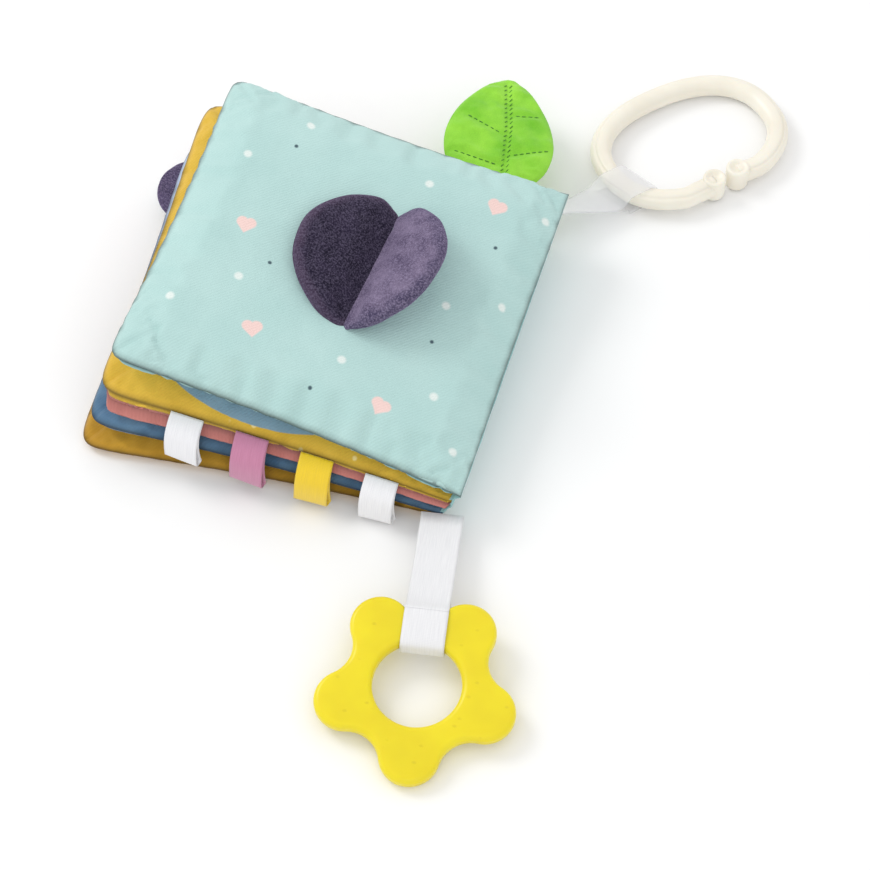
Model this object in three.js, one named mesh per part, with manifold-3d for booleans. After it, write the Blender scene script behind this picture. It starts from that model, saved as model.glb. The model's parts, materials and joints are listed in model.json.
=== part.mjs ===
// A baby's crinkle cloth book, lying closed with its leaves fanned open a little at the fore-edge.
// Millimetres, +Z up. The spine runs along Y, the fore-edge faces -X and the bottom edge faces -Y.
// A ring hangs on a ribbon at the spine's top end, a teether at its bottom end.
import * as THREE from 'three';
import Module from 'manifold-3d';
import { mergeVertices } from 'three/addons/utils/BufferGeometryUtils.js';

// Leaves
const PAGE = 140;
const SEAM_HALF = 0.8;
const SEAM_SLIT = 0.3;
const CLOTH = 0.9;
const EDGE_ROLL = 14;
const DRAW_IN = 1.6;
const BACK_DEPTH = 3.5;
const CROWN = 5.6;
const LOW_CROWN = 4.3;
const LEAF_CLEAR = 0.5;
const FILM = 0.3;
const LAY_GAP = 0.45;
const SEAM_ALLOWANCE = 12;

// How the leaves lie on each other, from the back leaf to the front cover
const SPINE_RISE_BOTTOM = 14.8;
const SPINE_RISE_TOP = 26.3;
const FORE_RISE_BOTTOM = 45.5;
const FORE_RISE_TOP = 47.3;
const SPINE_LEAN = 15.9;
const LEAF_SLIP = 2.5;
const spineBottomShares = [0, 0.311, 0.669, 1];
const spineTopShares = [0, 0.262, 0.673, 1];
const foreBottomShares = [0, 0.268, 0.571, 1];
const foreTopShares = [0, 0.334, 0.725, 1];
const leanShares = [0, 0.377, 0.679, 1];
const slipShares = [0, 1, 0, 0];
const yawDegrees = [0, -2.4, -4, -5.3];

// Spine
const SPINE_CLOTH = 1;
const SPINE_CLEAR = 0.6;
const SPINE_BULGE = 2.2;
const SPINE_TURN_UP = 1.6;

// Heart on the cover
const HEART_LENGTH = 56;
const HEART_HALF_WIDTH = 31.5;
const HEART_THICK = 8;
const HEART_SEAM = 2.6;
const HEART_SWELL_RUN = 13;
const HEART_ROLL = 11;
const HEART_FROM_SPINE = 62.9;
const HEART_FROM_BOTTOM = 43.4;
const HEART_LEFT_LIFT_DEGREES = 12;
const HEART_RIGHT_LIFT_DEGREES = 43;
const HEART_LEAN_DEGREES = -3.5;
const SEAT_GAP = 0.3;

// Green leaf at the top edge
const SPRIG_LENGTH = 60;
const SPRIG_HALF_WIDTH = 22;
const SPRIG_CROWN = 1.6;
const SPRIG_ROLL = 8;
const SPRIG_FROM_SPINE = 25;
const SPRIG_DROOP_DEGREES = 7;
const SPRIG_LEAN_DEGREES = 7.7;
const RIB_DEPTH = 0.7;
const RIB_WIDTH = 3;

// Plush ear at the fore-edge, lying on the back leaf
const EAR_LENGTH = 26;
const EAR_HALF_WIDTH = 17;
const EAR_CROWN = 0.7;
const EAR_ROLL = 4;
const EAR_OVERHANG = 2.2;
const EAR_FROM_TOP = 15;
const FLAP_SEAM_HALF = 0.5;
const FLAP_CLOTH = 0.6;

// Satin tags in the bottom seam of the second leaf
const TAG_WIDTH = 12.8;
const TAG_PITCH = 25.4;
const TAG_FIRST = 27;
const TAG_OUT = 11.5;
const TAG_DROP = 15.5;
const tagOutShares = [0.91, 0.97, 1, 0.95];
const tagDropShares = [0.86, 1, 1, 0.94];
const RIBBON = 0.6;
const RIBBON_GAP = 0.5;
const TAG_BULGE = 1.1;

// Ring and its ribbon
const RING_LENGTH = 84.5;
const RING_WIDTH = 62.5;
const RING_TUBE = 4.25;
const RING_X = 46.8;
const RING_BEYOND_TOP = 58.2;
const RING_TURN_DEGREES = 42.5;
const RING_TILT_DEGREES = 1.8;
const RING_GAP_DEGREES = 24;
const RING_GRIP_DEGREES = 196;
const RING_BOW = 2.3;
const CUP_RADIUS = 4.7;
const CUP_HEIGHT = 9.6;
const CUP_DISH = 1.2;
const CUP_INSET = 2.4;
const CUP_GAP = 1.9;
const CUP_SHIFT = 1.3;
const RING_RIBBON_WIDTH = 13;
const RING_RIBBON_X = -2;
const RING_RIBBON_Z = 17;
const RIBBON_CLEAR = 0.45;
const RIBBON_SPREAD = 5;

// Teether and its ribbon
const TEETHER_LOBE_RADIUS = 11;
const TEETHER_LOBE_CIRCLE = 26.3;
const TEETHER_VALLEY = 26.3;
const TEETHER_HOLE = 16;
const TEETHER_THICK = 6;
const TEETHER_EDGE = 2.2;
const TEETHER_FLARE = 3.2;
const TEETHER_X = -5.9;
const TEETHER_Y = -74.5;
const TEETHER_TILT_DEGREES = 8;
const TEETHER_TURN_DEGREES = 5.2;
const TEETHER_FIRST_LOBE_DEGREES = 127.4;
const TEETHER_LOBES = 5;
const TEETHER_RIBBON_WIDTH = 16;
const TEETHER_RIBBON_Z = 8.6;

// Fineness
const LEAF_STEPS = 10;
const SPINE_STEPS = 6;
const INNER_STEPS = 5;
const FLAP_STEPS = 8;
const RING_SIDES = 5;
const RING_STEPS = 36;
const CUP_SIDES = 18;
const LOBE_STEPS = 5;
const HOLE_ARCS = 3;

const wasm = await Module();
wasm.setup();

const rad = THREE.MathUtils.degToRad;
const vec = (x, y, z) => new THREE.Vector3(x, y, z);
const clamp01 = (value) => Math.min(1, Math.max(0, value));
const smooth = (value) => THREE.MathUtils.smoothstep(value, 0, 1);

function cloth(color, roughness = 0.9) {
  return new THREE.MeshStandardMaterial({ color, roughness, metalness: 0 });
}

const COLOURS = {
  teal: 0xb9dfdc, mustard: 0xd9a83a, pink: 0xd08a84, slate: 0x5f86a6, velour: 0x4a4060,
  green: 0x83c535, white: 0xf4f4f4, mauve: 0xbe73a0, yellow: 0xebcd0a, sheer: 0xe9e9ec,
  ivory: 0xece6d7, teether: 0xeddd1e, wadding: 0xf2f0ea, film: 0xd9dde0, backing: 0xe4e8ea,
};

function namedMesh(name, geometry, material) {
  const mesh = new THREE.Mesh(geometry, material);
  mesh.name = name;
  return mesh;
}

// Turns every face outward when the signed volume says that they all face in
function faceOutward(geometry) {
  const position = geometry.attributes.position;
  const index = geometry.index.array;
  const [a, b, c] = [vec(0, 0, 0), vec(0, 0, 0), vec(0, 0, 0)];
  let volume = 0;
  for (let i = 0; i < index.length; i += 3) {
    a.fromBufferAttribute(position, index[i]);
    b.fromBufferAttribute(position, index[i + 1]);
    c.fromBufferAttribute(position, index[i + 2]);
    volume += a.dot(b.cross(c));
  }
  if (volume < 0) {
    for (let i = 0; i < index.length; i += 3) [index[i], index[i + 1]] = [index[i + 1], index[i]];
  }
  return geometry;
}

// A closed solid between two surfaces over one grid; both surfaces are functions of s and t
function slab(across, along, top, bottom) {
  const points = [];
  const faces = [];
  const row = along.length;
  const layer = across.length * row;
  for (const surface of [top, bottom]) {
    for (const s of across) {
      for (const t of along) points.push(...surface(s, t).toArray());
    }
  }
  const at = (i, j, k) => k * layer + i * row + j;
  const quad = (a, b, c, d) => faces.push(a, b, c, a, c, d);
  for (let i = 0; i < across.length - 1; i += 1) {
    for (let j = 0; j < row - 1; j += 1) {
      quad(at(i, j, 0), at(i + 1, j, 0), at(i + 1, j + 1, 0), at(i, j + 1, 0));
      quad(at(i, j, 1), at(i, j + 1, 1), at(i + 1, j + 1, 1), at(i + 1, j, 1));
    }
  }
  for (let i = 0; i < across.length - 1; i += 1) {
    quad(at(i, 0, 1), at(i + 1, 0, 1), at(i + 1, 0, 0), at(i, 0, 0));
    quad(at(i, row - 1, 0), at(i + 1, row - 1, 0), at(i + 1, row - 1, 1), at(i, row - 1, 1));
  }
  const last = across.length - 1;
  for (let j = 0; j < row - 1; j += 1) {
    quad(at(0, j, 0), at(0, j + 1, 0), at(0, j + 1, 1), at(0, j, 1));
    quad(at(last, j, 1), at(last, j + 1, 1), at(last, j + 1, 0), at(last, j, 0));
  }
  const geometry = new THREE.BufferGeometry();
  geometry.setAttribute('position', new THREE.Float32BufferAttribute(points, 3));
  geometry.setIndex(faces);
  return faceOutward(geometry);
}

// Steps from low to high that close up towards both ends
function easedSteps(count, low, high) {
  const middle = (low + high) / 2;
  const reach = (high - low) / 2;
  return Array.from({ length: count + 1 }, (_, i) => middle - reach * Math.cos((Math.PI * i) / count));
}

// The round rise of a stuffed edge: 0 at the seam, 1 from one roll width inwards
function roll(distance, width) {
  const share = 1 - clamp01(distance / width);
  return Math.sqrt(1 - share * share);
}

const FILLING_INSET_SHARE = 0.28;

// Leaf shape. s runs from the fore-edge (-1) to the spine (1), t from the bottom edge to the top
const CORNER_POWER = 15;
const { lerp } = THREE.MathUtils;
const lastLeaf = foreTopShares.length - 1;

// Half the distance between leaf k and the one above it, at u from the spine and v from the bottom
function halfGap(k, u, v) {
  const step = (size, shares) => size * (shares[k + 1] - shares[k]);
  const fore = lerp(step(FORE_RISE_BOTTOM, foreBottomShares), step(FORE_RISE_TOP, foreTopShares), v);
  const spine = lerp(step(SPINE_RISE_BOTTOM, spineBottomShares), step(SPINE_RISE_TOP, spineTopShares), v);
  return lerp(spine, fore, u) / 2;
}

// A face fills the space up to the next leaf, as far as its wadding reaches
function fullCrown(k, u, v) {
  if (k < 0 || k === lastLeaf) return CROWN;
  const reach = k === 0 ? LOW_CROWN : CROWN;
  return Math.min(reach, halfGap(k, u, v) - SEAM_HALF - LEAF_CLEAR / 2);
}

function leafCorners(k) {
  const yaw = rad(yawDegrees[k]);
  const along = vec(-Math.sin(yaw), Math.cos(yaw), 0);
  const outward = vec(-Math.cos(yaw), -Math.sin(yaw), 0);
  const middle = vec(-SPINE_LEAN * (1 - leanShares[k]), PAGE / 2 - LEAF_SLIP * slipShares[k], 0);
  const corner = (side, spineZ, foreZ) => {
    const point = middle.clone().addScaledVector(along, (side * PAGE) / 2).setZ(spineZ);
    const rise = foreZ - spineZ;
    const fore = point.clone().addScaledVector(outward, Math.sqrt(PAGE * PAGE - rise * rise)).setZ(foreZ);
    return [point, fore];
  };
  const height = (rise, shares) => BACK_DEPTH + rise * shares[k];
  const [spineBottom, foreBottom] = corner(
    -1, height(SPINE_RISE_BOTTOM, spineBottomShares), height(FORE_RISE_BOTTOM, foreBottomShares));
  const [spineTop, foreTop] = corner(
    1, height(SPINE_RISE_TOP, spineTopShares), height(FORE_RISE_TOP, foreTopShares));
  return { spineBottom, foreBottom, spineTop, foreTop };
}

function makeLeaf(k) {
  const { spineBottom, foreBottom, spineTop, foreTop } = leafCorners(k);
  const right = spineBottom.clone().add(spineTop).sub(foreBottom).sub(foreTop).normalize();
  const up = spineTop.clone().add(foreTop).sub(spineBottom).sub(foreBottom);
  const normal = right.clone().cross(up).normalize();
  const plain = (u, v) => {
    const low = spineBottom.clone().lerp(foreBottom, u);
    return low.lerp(spineTop.clone().lerp(foreTop, u), v);
  };
  const middle = (s, t) => {
    const big = Math.max(Math.abs(s), Math.abs(t));
    const round = (Math.abs(s) ** CORNER_POWER + Math.abs(t) ** CORNER_POWER) ** (1 / CORNER_POWER);
    const shrink = big > 0 ? big / round : 1;
    const pull = DRAW_IN / (PAGE / 2);
    const foreSide = s < 0 ? 1 : 0;
    const x = s * shrink * (1 - pull * foreSide * s * s * (1 - t * t));
    const y = t * shrink * (1 - pull * t * t * (1 - s * s));
    return plain((1 - x) / 2, (1 + y) / 2);
  };
  const stuffed = (face, s, t) => {
    const inward = (value) => roll((1 - Math.abs(value)) * (PAGE / 2), EDGE_ROLL);
    return SEAM_HALF + fullCrown(face, (1 - s) / 2, (1 + t) / 2) * inward(s) * inward(t);
  };
  const depthLimit = k === 0 ? BACK_DEPTH : Infinity;
  const topHeight = (s, t) => stuffed(k, s, t);
  const bottomDepth = (s, t) => Math.min(stuffed(k - 1, s, t), depthLimit);
  const raised = (height) => (s, t) => middle(s, t).addScaledVector(normal, height(s, t));
  return { k, plain, middle, normal, right, topHeight, bottomDepth, raised, spineBottom, spineTop };
}

const leaves = foreTopShares.map((_, k) => makeLeaf(k));
const [backLeaf, thirdLeaf, secondLeaf, frontCover] = leaves;

// Upper and lower cloth, crinkle film and wadding of one leaf
function leafMeshes(name, leaf, upperColour, lowerColour) {
  const outer = easedSteps(LEAF_STEPS, -1, 1);
  const reach = 1 - SEAM_ALLOWANCE / (PAGE / 2);
  const inner = easedSteps(INNER_STEPS, -reach, reach);
  const slit = SEAM_SLIT / 2;
  const underTop = (s, t) => Math.max(slit, leaf.topHeight(s, t) - CLOTH);
  const overBottom = (s, t) => Math.max(slit, leaf.bottomDepth(s, t) - CLOTH);
  const filmTop = (s, t) => underTop(s, t) - LAY_GAP;
  const filmBottom = (s, t) => filmTop(s, t) - FILM;
  const padTop = (s, t) => filmBottom(s, t) - LAY_GAP;
  const padBottom = (s, t) => LAY_GAP - overBottom(s, t);
  const below = (height) => (s, t) => -height(s, t);
  const solid = (steps, high, low) => slab(steps, steps, leaf.raised(high), leaf.raised(low));
  return [
    namedMesh(`${name}_upper_cloth`, solid(outer, leaf.topHeight, underTop), cloth(upperColour)),
    namedMesh(`${name}_lower_cloth`, solid(outer, below(overBottom), below(leaf.bottomDepth)), cloth(lowerColour)),
    namedMesh(`${name}_crinkle_film`, solid(inner, filmTop, filmBottom), cloth(COLOURS.film, 0.4)),
    namedMesh(`${name}_wadding`, solid(inner, padTop, padBottom), cloth(COLOURS.wadding, 1)),
  ];
}

// The spine cloth wraps the four spine seams, bulging out between them
function makeSpineCover() {
  const seamPoint = (leaf, v) => leaf.spineBottom.clone().lerp(leaf.spineTop, v);
  const bulge = vec(SPINE_BULGE, 0, 0);
  const profile = (v) => {
    const seams = leaves.map((leaf) => seamPoint(leaf, v).add(vec(SPINE_CLEAR, 0, 0)));
    const path = [seams[0].clone().setZ(SPINE_CLEAR)];
    seams.forEach((seam, i) => {
      path.push(seam);
      if (i < seams.length - 1) path.push(seam.clone().lerp(seams[i + 1], 1 / 2).add(bulge));
    });
    path.push(seams[seams.length - 1].clone().add(vec(0, 0, SPINE_TURN_UP)));
    return path;
  };
  const knots = profile(0).length - 1;
  const along = easedSteps(SPINE_STEPS, 0, 1);
  const around = Array.from({ length: knots + 1 }, (_, i) => i / knots);
  const inside = (s, t) => profile(t)[Math.round(s * knots)];
  const outside = (s, t) => inside(s, t).add(vec(SPINE_CLOTH, 0, 0));
  return namedMesh('spine_cover', slab(around, along, outside, inside), cloth(COLOURS.teal));
}

// How far a leaf's top or bottom edge is drawn in at a place along it
function edgeDraw(fromSpine) {
  const fromMiddle = 1 - (2 * fromSpine) / PAGE;
  return DRAW_IN * (1 - fromMiddle * fromMiddle);
}

// A matrix whose axes follow a leaf, at a place measured from its spine and its bottom edge
function placeOnLeaf(leaf, fromSpine, fromBottom, height) {
  const point = leaf.plain(fromSpine / PAGE, fromBottom / PAGE).addScaledVector(leaf.normal, height);
  const across = leaf.right.clone();
  const ahead = leaf.normal.clone().cross(across);
  return new THREE.Matrix4().makeBasis(across, ahead, leaf.normal).setPosition(point);
}

function groupAt(matrix, ...meshes) {
  const group = new THREE.Group();
  matrix.decompose(group.position, group.quaternion, group.scale);
  group.add(...meshes);
  return group;
}

function turned(matrix, axis, degrees) {
  return matrix.clone().multiply(new THREE.Matrix4().makeRotationAxis(axis, rad(degrees)));
}

// A stuffed flap whose flat place at s, t is plan(s, t): its two faces and their two inner sides
function makeFlap({ plan, swell, crown, seamHalf, wall, middleZ }) {
  const high = (s, t) => middleZ + seamHalf + crown * swell(s, t);
  const low = (s, t) => middleZ - seamHalf - crown * swell(s, t);
  const slit = SEAM_SLIT / 2;
  const underHigh = (s, t) => Math.max(middleZ + slit, high(s, t) - wall);
  const overLow = (s, t) => Math.min(middleZ - slit, low(s, t) + wall);
  const solid = (steps, upper, lower) => {
    const surface = (height) => (s, t) => plan(s, t).setZ(height(s, t));
    return slab(steps, steps, surface(upper), surface(lower));
  };
  return { high, low, underHigh, overLow, solid, middleZ };
}

function flapCloths(flap, frontName, backName, frontColour, backColour) {
  const steps = easedSteps(FLAP_STEPS, 0, 1);
  return [
    namedMesh(frontName, flap.solid(steps, flap.high, flap.underHigh), cloth(frontColour)),
    namedMesh(backName, flap.solid(steps, flap.overLow, flap.low), cloth(backColour)),
  ];
}

const fillingSteps = easedSteps(INNER_STEPS, FILLING_INSET_SHARE, 1 - FILLING_INSET_SHARE);

// Half of the heart's outline from its tip to its notch, as shares of its half width and length
const heartOutShares = [0.04, 0.32, 0.62, 0.82, 0.95, 1, 0.93, 0.75, 0.54, 0.26, 0.04];
const heartUpShares = [-0.01, 0.02, 0.12, 0.23, 0.36, 0.57, 0.73, 0.88, 0.98, 1.05, 1.01];

function curveThrough(outShares, upShares, outSize, upSize) {
  return new THREE.CatmullRomCurve3(outShares.map((share, i) => vec(share * outSize, upShares[i] * upSize, 0)));
}

// The wings swell away from the seam in the middle and thin out again towards their rounded edge
function makeHeartHalf(side, sideName) {
  const outline = curveThrough(heartOutShares, heartUpShares, side * HEART_HALF_WIDTH, HEART_LENGTH);
  const plan = (s, t) => vec(0, HEART_LENGTH * t, 0).lerp(outline.getPoint(t), s);
  const swell = (s, t) => {
    const width = Math.abs(outline.getPoint(t).x);
    const ends = roll(Math.min(t, 1 - t) * HEART_LENGTH, HEART_ROLL);
    return smooth((s * width) / HEART_SWELL_RUN) * roll((1 - s) * width, HEART_ROLL) * ends;
  };
  const flap = makeFlap({
    plan, swell, wall: CLOTH, crown: (HEART_THICK - HEART_SEAM) / 2,
    seamHalf: HEART_SEAM / 2, middleZ: -HEART_SEAM / 2,
  });
  const name = `heart_${sideName}`;
  const meshes = flapCloths(flap, `${name}_velour`, `${name}_back_cloth`, COLOURS.velour, COLOURS.velour);
  const padTop = (s, t) => flap.underHigh(s, t) - LAY_GAP;
  const padBottom = (s, t) => flap.overLow(s, t) + LAY_GAP;
  const filling = flap.solid(fillingSteps, padTop, padBottom);
  meshes.push(namedMesh(`${name}_filling`, filling, cloth(COLOURS.wadding)));
  const lift = side < 0 ? HEART_LEFT_LIFT_DEGREES : HEART_RIGHT_LIFT_DEGREES;
  const height = SEAM_HALF + CROWN + HEART_SEAM * Math.cos(rad(HEART_LEFT_LIFT_DEGREES)) + SEAT_GAP;
  const seat = turned(
    placeOnLeaf(frontCover, HEART_FROM_SPINE, HEART_FROM_BOTTOM, height), vec(0, 0, 1), HEART_LEAN_DEGREES);
  const pivot = seat.clone().multiply(new THREE.Matrix4().makeTranslation((side * SEAT_GAP) / 2, 0, 0));
  hinges[name] = hingeOf(pivot, vec(0, side, 0));
  return groupAt(turned(pivot, vec(0, 1, 0), -side * lift), ...meshes);
}

// Hinge lines by name: a point and an axis in the book's own coordinates
const hinges = {};

function hingeOf(matrix, axis) {
  return {
    point: vec(0, 0, 0).applyMatrix4(matrix),
    axis: axis.clone().transformDirection(matrix),
  };
}

// The plan of a flap that is alike on both sides of its middle line
function flapPlan(halfShares, upShares, halfWidth, length) {
  const rightEdge = curveThrough(halfShares, upShares, halfWidth, length);
  return (s, t) => {
    const edge = rightEdge.getPoint(t);
    return vec(edge.x * (2 * s - 1), edge.y, 0);
  };
}

function flapSwell(halfWidth, length, rollWidth) {
  const edges = (share, size) => roll(Math.min(share, 1 - share) * size, rollWidth);
  return (s, t) => edges(s, 2 * halfWidth) * edges(t, length);
}

// Half widths of the green leaf from its root to its tip
const sprigHalfShares = [0.3, 0.62, 0.84, 0.97, 1, 0.9, 0.7, 0.42, 0.05];
const sprigUpShares = [0, 0.06, 0.15, 0.28, 0.44, 0.62, 0.78, 0.92, 1];

function makeSprig() {
  const plan = flapPlan(sprigHalfShares, sprigUpShares, SPRIG_HALF_WIDTH, SPRIG_LENGTH);
  const full = flapSwell(SPRIG_HALF_WIDTH, SPRIG_LENGTH, SPRIG_ROLL);
  const midrib = (s) => clamp01(1 - (Math.abs(2 * s - 1) * SPRIG_HALF_WIDTH) / RIB_WIDTH);
  const swell = (s, t) => Math.max(0, full(s, t) - (RIB_DEPTH / SPRIG_CROWN) * midrib(s));
  const flap = makeFlap({
    plan, swell, crown: SPRIG_CROWN, seamHalf: FLAP_SEAM_HALF, wall: FLAP_CLOTH, middleZ: 0,
  });
  const meshes = flapCloths(flap, 'green_leaf_front', 'green_leaf_back', COLOURS.green, COLOURS.green);
  const film = flap.solid(fillingSteps, () => FILM / 2, () => -FILM / 2);
  meshes.push(namedMesh('green_leaf_crinkle_film', film, cloth(COLOURS.film)));
  const seat = placeOnLeaf(secondLeaf, SPRIG_FROM_SPINE, PAGE, 0);
  const turnedWidth = sprigHalfShares[0] * SPRIG_HALF_WIDTH * Math.sin(rad(SPRIG_LEAN_DEGREES));
  const seam = SEAT_GAP + turnedWidth - edgeDraw(SPRIG_FROM_SPINE);
  seat.multiply(new THREE.Matrix4().makeTranslation(0, seam, 0));
  hinges.green_leaf = hingeOf(seat, vec(1, 0, 0));
  const leaned = turned(seat, vec(0, 0, 1), SPRIG_LEAN_DEGREES);
  return groupAt(turned(leaned, vec(1, 0, 0), -SPRIG_DROOP_DEGREES), ...meshes);
}

const earHalfShares = [0.98, 1, 1, 0.97, 0.885, 0.72, 0.53, 0.3, 0.04];
const earUpShares = [0, 0.2, 0.35, 0.5, 0.65, 0.8, 0.9, 0.97, 1];

function makeEar() {
  const plan = flapPlan(earHalfShares, earUpShares, EAR_HALF_WIDTH, EAR_LENGTH);
  const flap = makeFlap({
    plan, swell: flapSwell(EAR_HALF_WIDTH, EAR_LENGTH, EAR_ROLL), crown: EAR_CROWN,
    seamHalf: FLAP_SEAM_HALF, wall: FLAP_CLOTH, middleZ: 0,
  });
  const meshes = flapCloths(flap, 'ear_velour', 'ear_backing', COLOURS.velour, COLOURS.backing);
  const seatHeight = SEAM_HALF + LOW_CROWN + SEAT_GAP + FLAP_SEAM_HALF + EAR_CROWN;
  const seat = placeOnLeaf(backLeaf, PAGE + EAR_OVERHANG - EAR_LENGTH, PAGE - EAR_FROM_TOP, seatHeight);
  return groupAt(turned(seat, vec(0, 0, 1), 90), ...meshes);
}

// A flat band along a path of points, each with the direction in which the band is wide there
function ribbonAlong(path, wideways, width) {
  const normalAt = (i) => {
    const before = path[Math.max(0, i - 1)];
    const after = path[Math.min(path.length - 1, i + 1)];
    return after.clone().sub(before).cross(wideways[i]).normalize();
  };
  const surface = (side) => (s, i) => path[i].clone()
    .addScaledVector(wideways[i], (s * width) / 2)
    .addScaledVector(normalAt(i), (side * RIBBON) / 2);
  return slab([-1, 1], path.map((_, i) => i), surface(1), surface(-1));
}

function welded(geometry) {
  geometry.deleteAttribute('normal');
  geometry.deleteAttribute('uv');
  return faceOutward(mergeVertices(geometry));
}

// A tag's path: out of the seam, down over the edges below, round its fold and back up
const TAG_BEND_SHARE = 0.7;
const TAG_TURN_SHARE = 0.3;
const tagPlaceShares = [0, 0.2, 0.4, 0.6, 0.8, 0.95];

function tagPath(out, drop) {
  const line = new THREE.CubicBezierCurve(
    new THREE.Vector2(0, 0), new THREE.Vector2(-out * TAG_BEND_SHARE, 0),
    new THREE.Vector2(-out, -drop * TAG_TURN_SHARE), new THREE.Vector2(-out, -drop));
  const near = (RIBBON + RIBBON_GAP) / 2;
  const offset = (t, side) => {
    const tangent = line.getTangent(t);
    const open = near + (TAG_BULGE * t * t) / 2;
    return line.getPoint(t).add(new THREE.Vector2(-tangent.y, tangent.x).multiplyScalar(side * open));
  };
  const down = tagPlaceShares.map((t) => offset(t, 1));
  const fold = line.getPoint(1).add(new THREE.Vector2(0, -near));
  const up = tagPlaceShares.map((t) => offset(t, -1)).reverse();
  return [...down, fold, ...up];
}

const TAG_COLOURS = [COLOURS.white, COLOURS.yellow, COLOURS.mauve, COLOURS.white];

function makeTags() {
  return TAG_COLOURS.map((color, i) => {
    const fromSpine = TAG_FIRST + TAG_PITCH * i;
    const seat = placeOnLeaf(secondLeaf, fromSpine, 0, 0);
    seat.multiply(new THREE.Matrix4().makeTranslation(0, edgeDraw(fromSpine) - SEAT_GAP, 0));
    seat.multiply(new THREE.Matrix4().makeRotationX(-Math.asin(secondLeaf.normal.y)));
    const name = `tag_${i + 1}`;
    const rootTop = new THREE.Matrix4().makeTranslation(0, 0, RIBBON + RIBBON_GAP / 2);
    hinges[name] = hingeOf(seat.clone().multiply(rootTop), vec(-1, 0, 0));
    const path = tagPath(TAG_OUT * tagOutShares[i], TAG_DROP * tagDropShares[i]);
    const band = ribbonAlong(
      path.map((point) => vec(0, point.x, point.y)), path.map(() => vec(1, 0, 0)), TAG_WIDTH);
    return groupAt(seat, namedMesh(name, band, cloth(color, 0.45)));
  });
}

// Ring: an oval tube with a gap between two dished cups
function toSolid(geometry) {
  const { position } = geometry.attributes;
  return new wasm.Manifold(new wasm.Mesh({
    numProp: 3,
    vertProperties: new Float32Array(position.array),
    triVerts: new Uint32Array(geometry.index.array),
  }));
}

function fromSolid(solid) {
  const { vertProperties, triVerts } = solid.getMesh();
  const geometry = new THREE.BufferGeometry();
  geometry.setAttribute('position', new THREE.Float32BufferAttribute(Array.from(vertProperties), 3));
  geometry.setIndex(Array.from(triVerts));
  return geometry;
}

const OVAL_POWER = 2.32;

function ringPoint(angle) {
  const power = 2 / OVAL_POWER;
  const bend = (value) => Math.sign(value) * Math.abs(value) ** power;
  const x = (RING_LENGTH / 2 - RING_TUBE) * bend(Math.cos(angle));
  const y = (RING_WIDTH / 2 - RING_TUBE) * bend(Math.sin(angle));
  return vec(x, y, 0);
}

// The ring's far side lies on the table and its ribbon side is lifted by the ribbon under it
function ringSeat() {
  const tilt = rad(RING_TILT_DEGREES);
  const turn = rad(RING_TURN_DEGREES);
  const reach = Math.hypot(
    (RING_LENGTH / 2 - RING_TUBE) * Math.sin(turn), (RING_WIDTH / 2 - RING_TUBE) * Math.cos(turn));
  const height = RING_TUBE + OVAL_REACH_SHARE * reach * Math.sin(tilt);
  const seat = new THREE.Matrix4().makeTranslation(RING_X, PAGE + RING_BEYOND_TOP, height);
  return turned(turned(seat, vec(1, 0, 0), -RING_TILT_DEGREES), vec(0, 0, 1), RING_TURN_DEGREES);
}

const OVAL_REACH_SHARE = 1.06;
const CUP_RIM_SHARE = 0.72;
const CUP_BEVEL_SHARE = 0.94;
const CUP_SIDE_SHARE = 0.8;

function makeRing() {
  const lowY = -(RING_WIDTH / 2 - RING_TUBE) + CUP_INSET;
  const cups = [-1, 1].map((side) => vec(CUP_SHIFT + side * (CUP_RADIUS + CUP_GAP / 2), lowY, 0));
  const start = rad(RING_GAP_DEGREES) - Math.PI / 2;
  const sweep = 2 * (Math.PI - rad(RING_GAP_DEGREES));
  const path = [cups[1]];
  for (let i = 0; i <= RING_STEPS; i += 1) path.push(ringPoint(start + (sweep * i) / RING_STEPS));
  path.push(cups[0]);
  const section = new THREE.Shape();
  section.absarc(0, 0, RING_TUBE, 0, 2 * Math.PI);
  const tube = new THREE.ExtrudeGeometry(section, {
    extrudePath: new THREE.CatmullRomCurve3(path), steps: RING_STEPS, curveSegments: RING_SIDES, bevelEnabled: false,
  });
  let solid = toSolid(welded(tube));
  const half = CUP_HEIGHT / 2;
  const lowProfile = [
    [0, half - CUP_DISH], [CUP_RADIUS * CUP_RIM_SHARE, half],
    [CUP_RADIUS * CUP_BEVEL_SHARE, half], [CUP_RADIUS, half * CUP_SIDE_SHARE],
  ];
  const profile = [
    ...lowProfile.map(([radius, depth]) => new THREE.Vector2(radius, -depth)),
    ...lowProfile.map(([radius, height]) => new THREE.Vector2(radius, height)).reverse(),
  ];
  for (const centre of cups) {
    const cup = new THREE.LatheGeometry(profile, CUP_SIDES);
    cup.rotateX(Math.PI / 2);
    cup.translate(centre.x, centre.y, centre.z);
    solid = solid.add(toSolid(welded(cup)));
  }
  return groupAt(ringSeat(), namedMesh('ring', fromSolid(solid), cloth(COLOURS.ivory, 0.35)));
}

const FOLD_POWER = 4;
const FOLD_DEGREES = [120, 90, 60, 30, 0, -30, -60, -90, -120];

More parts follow.
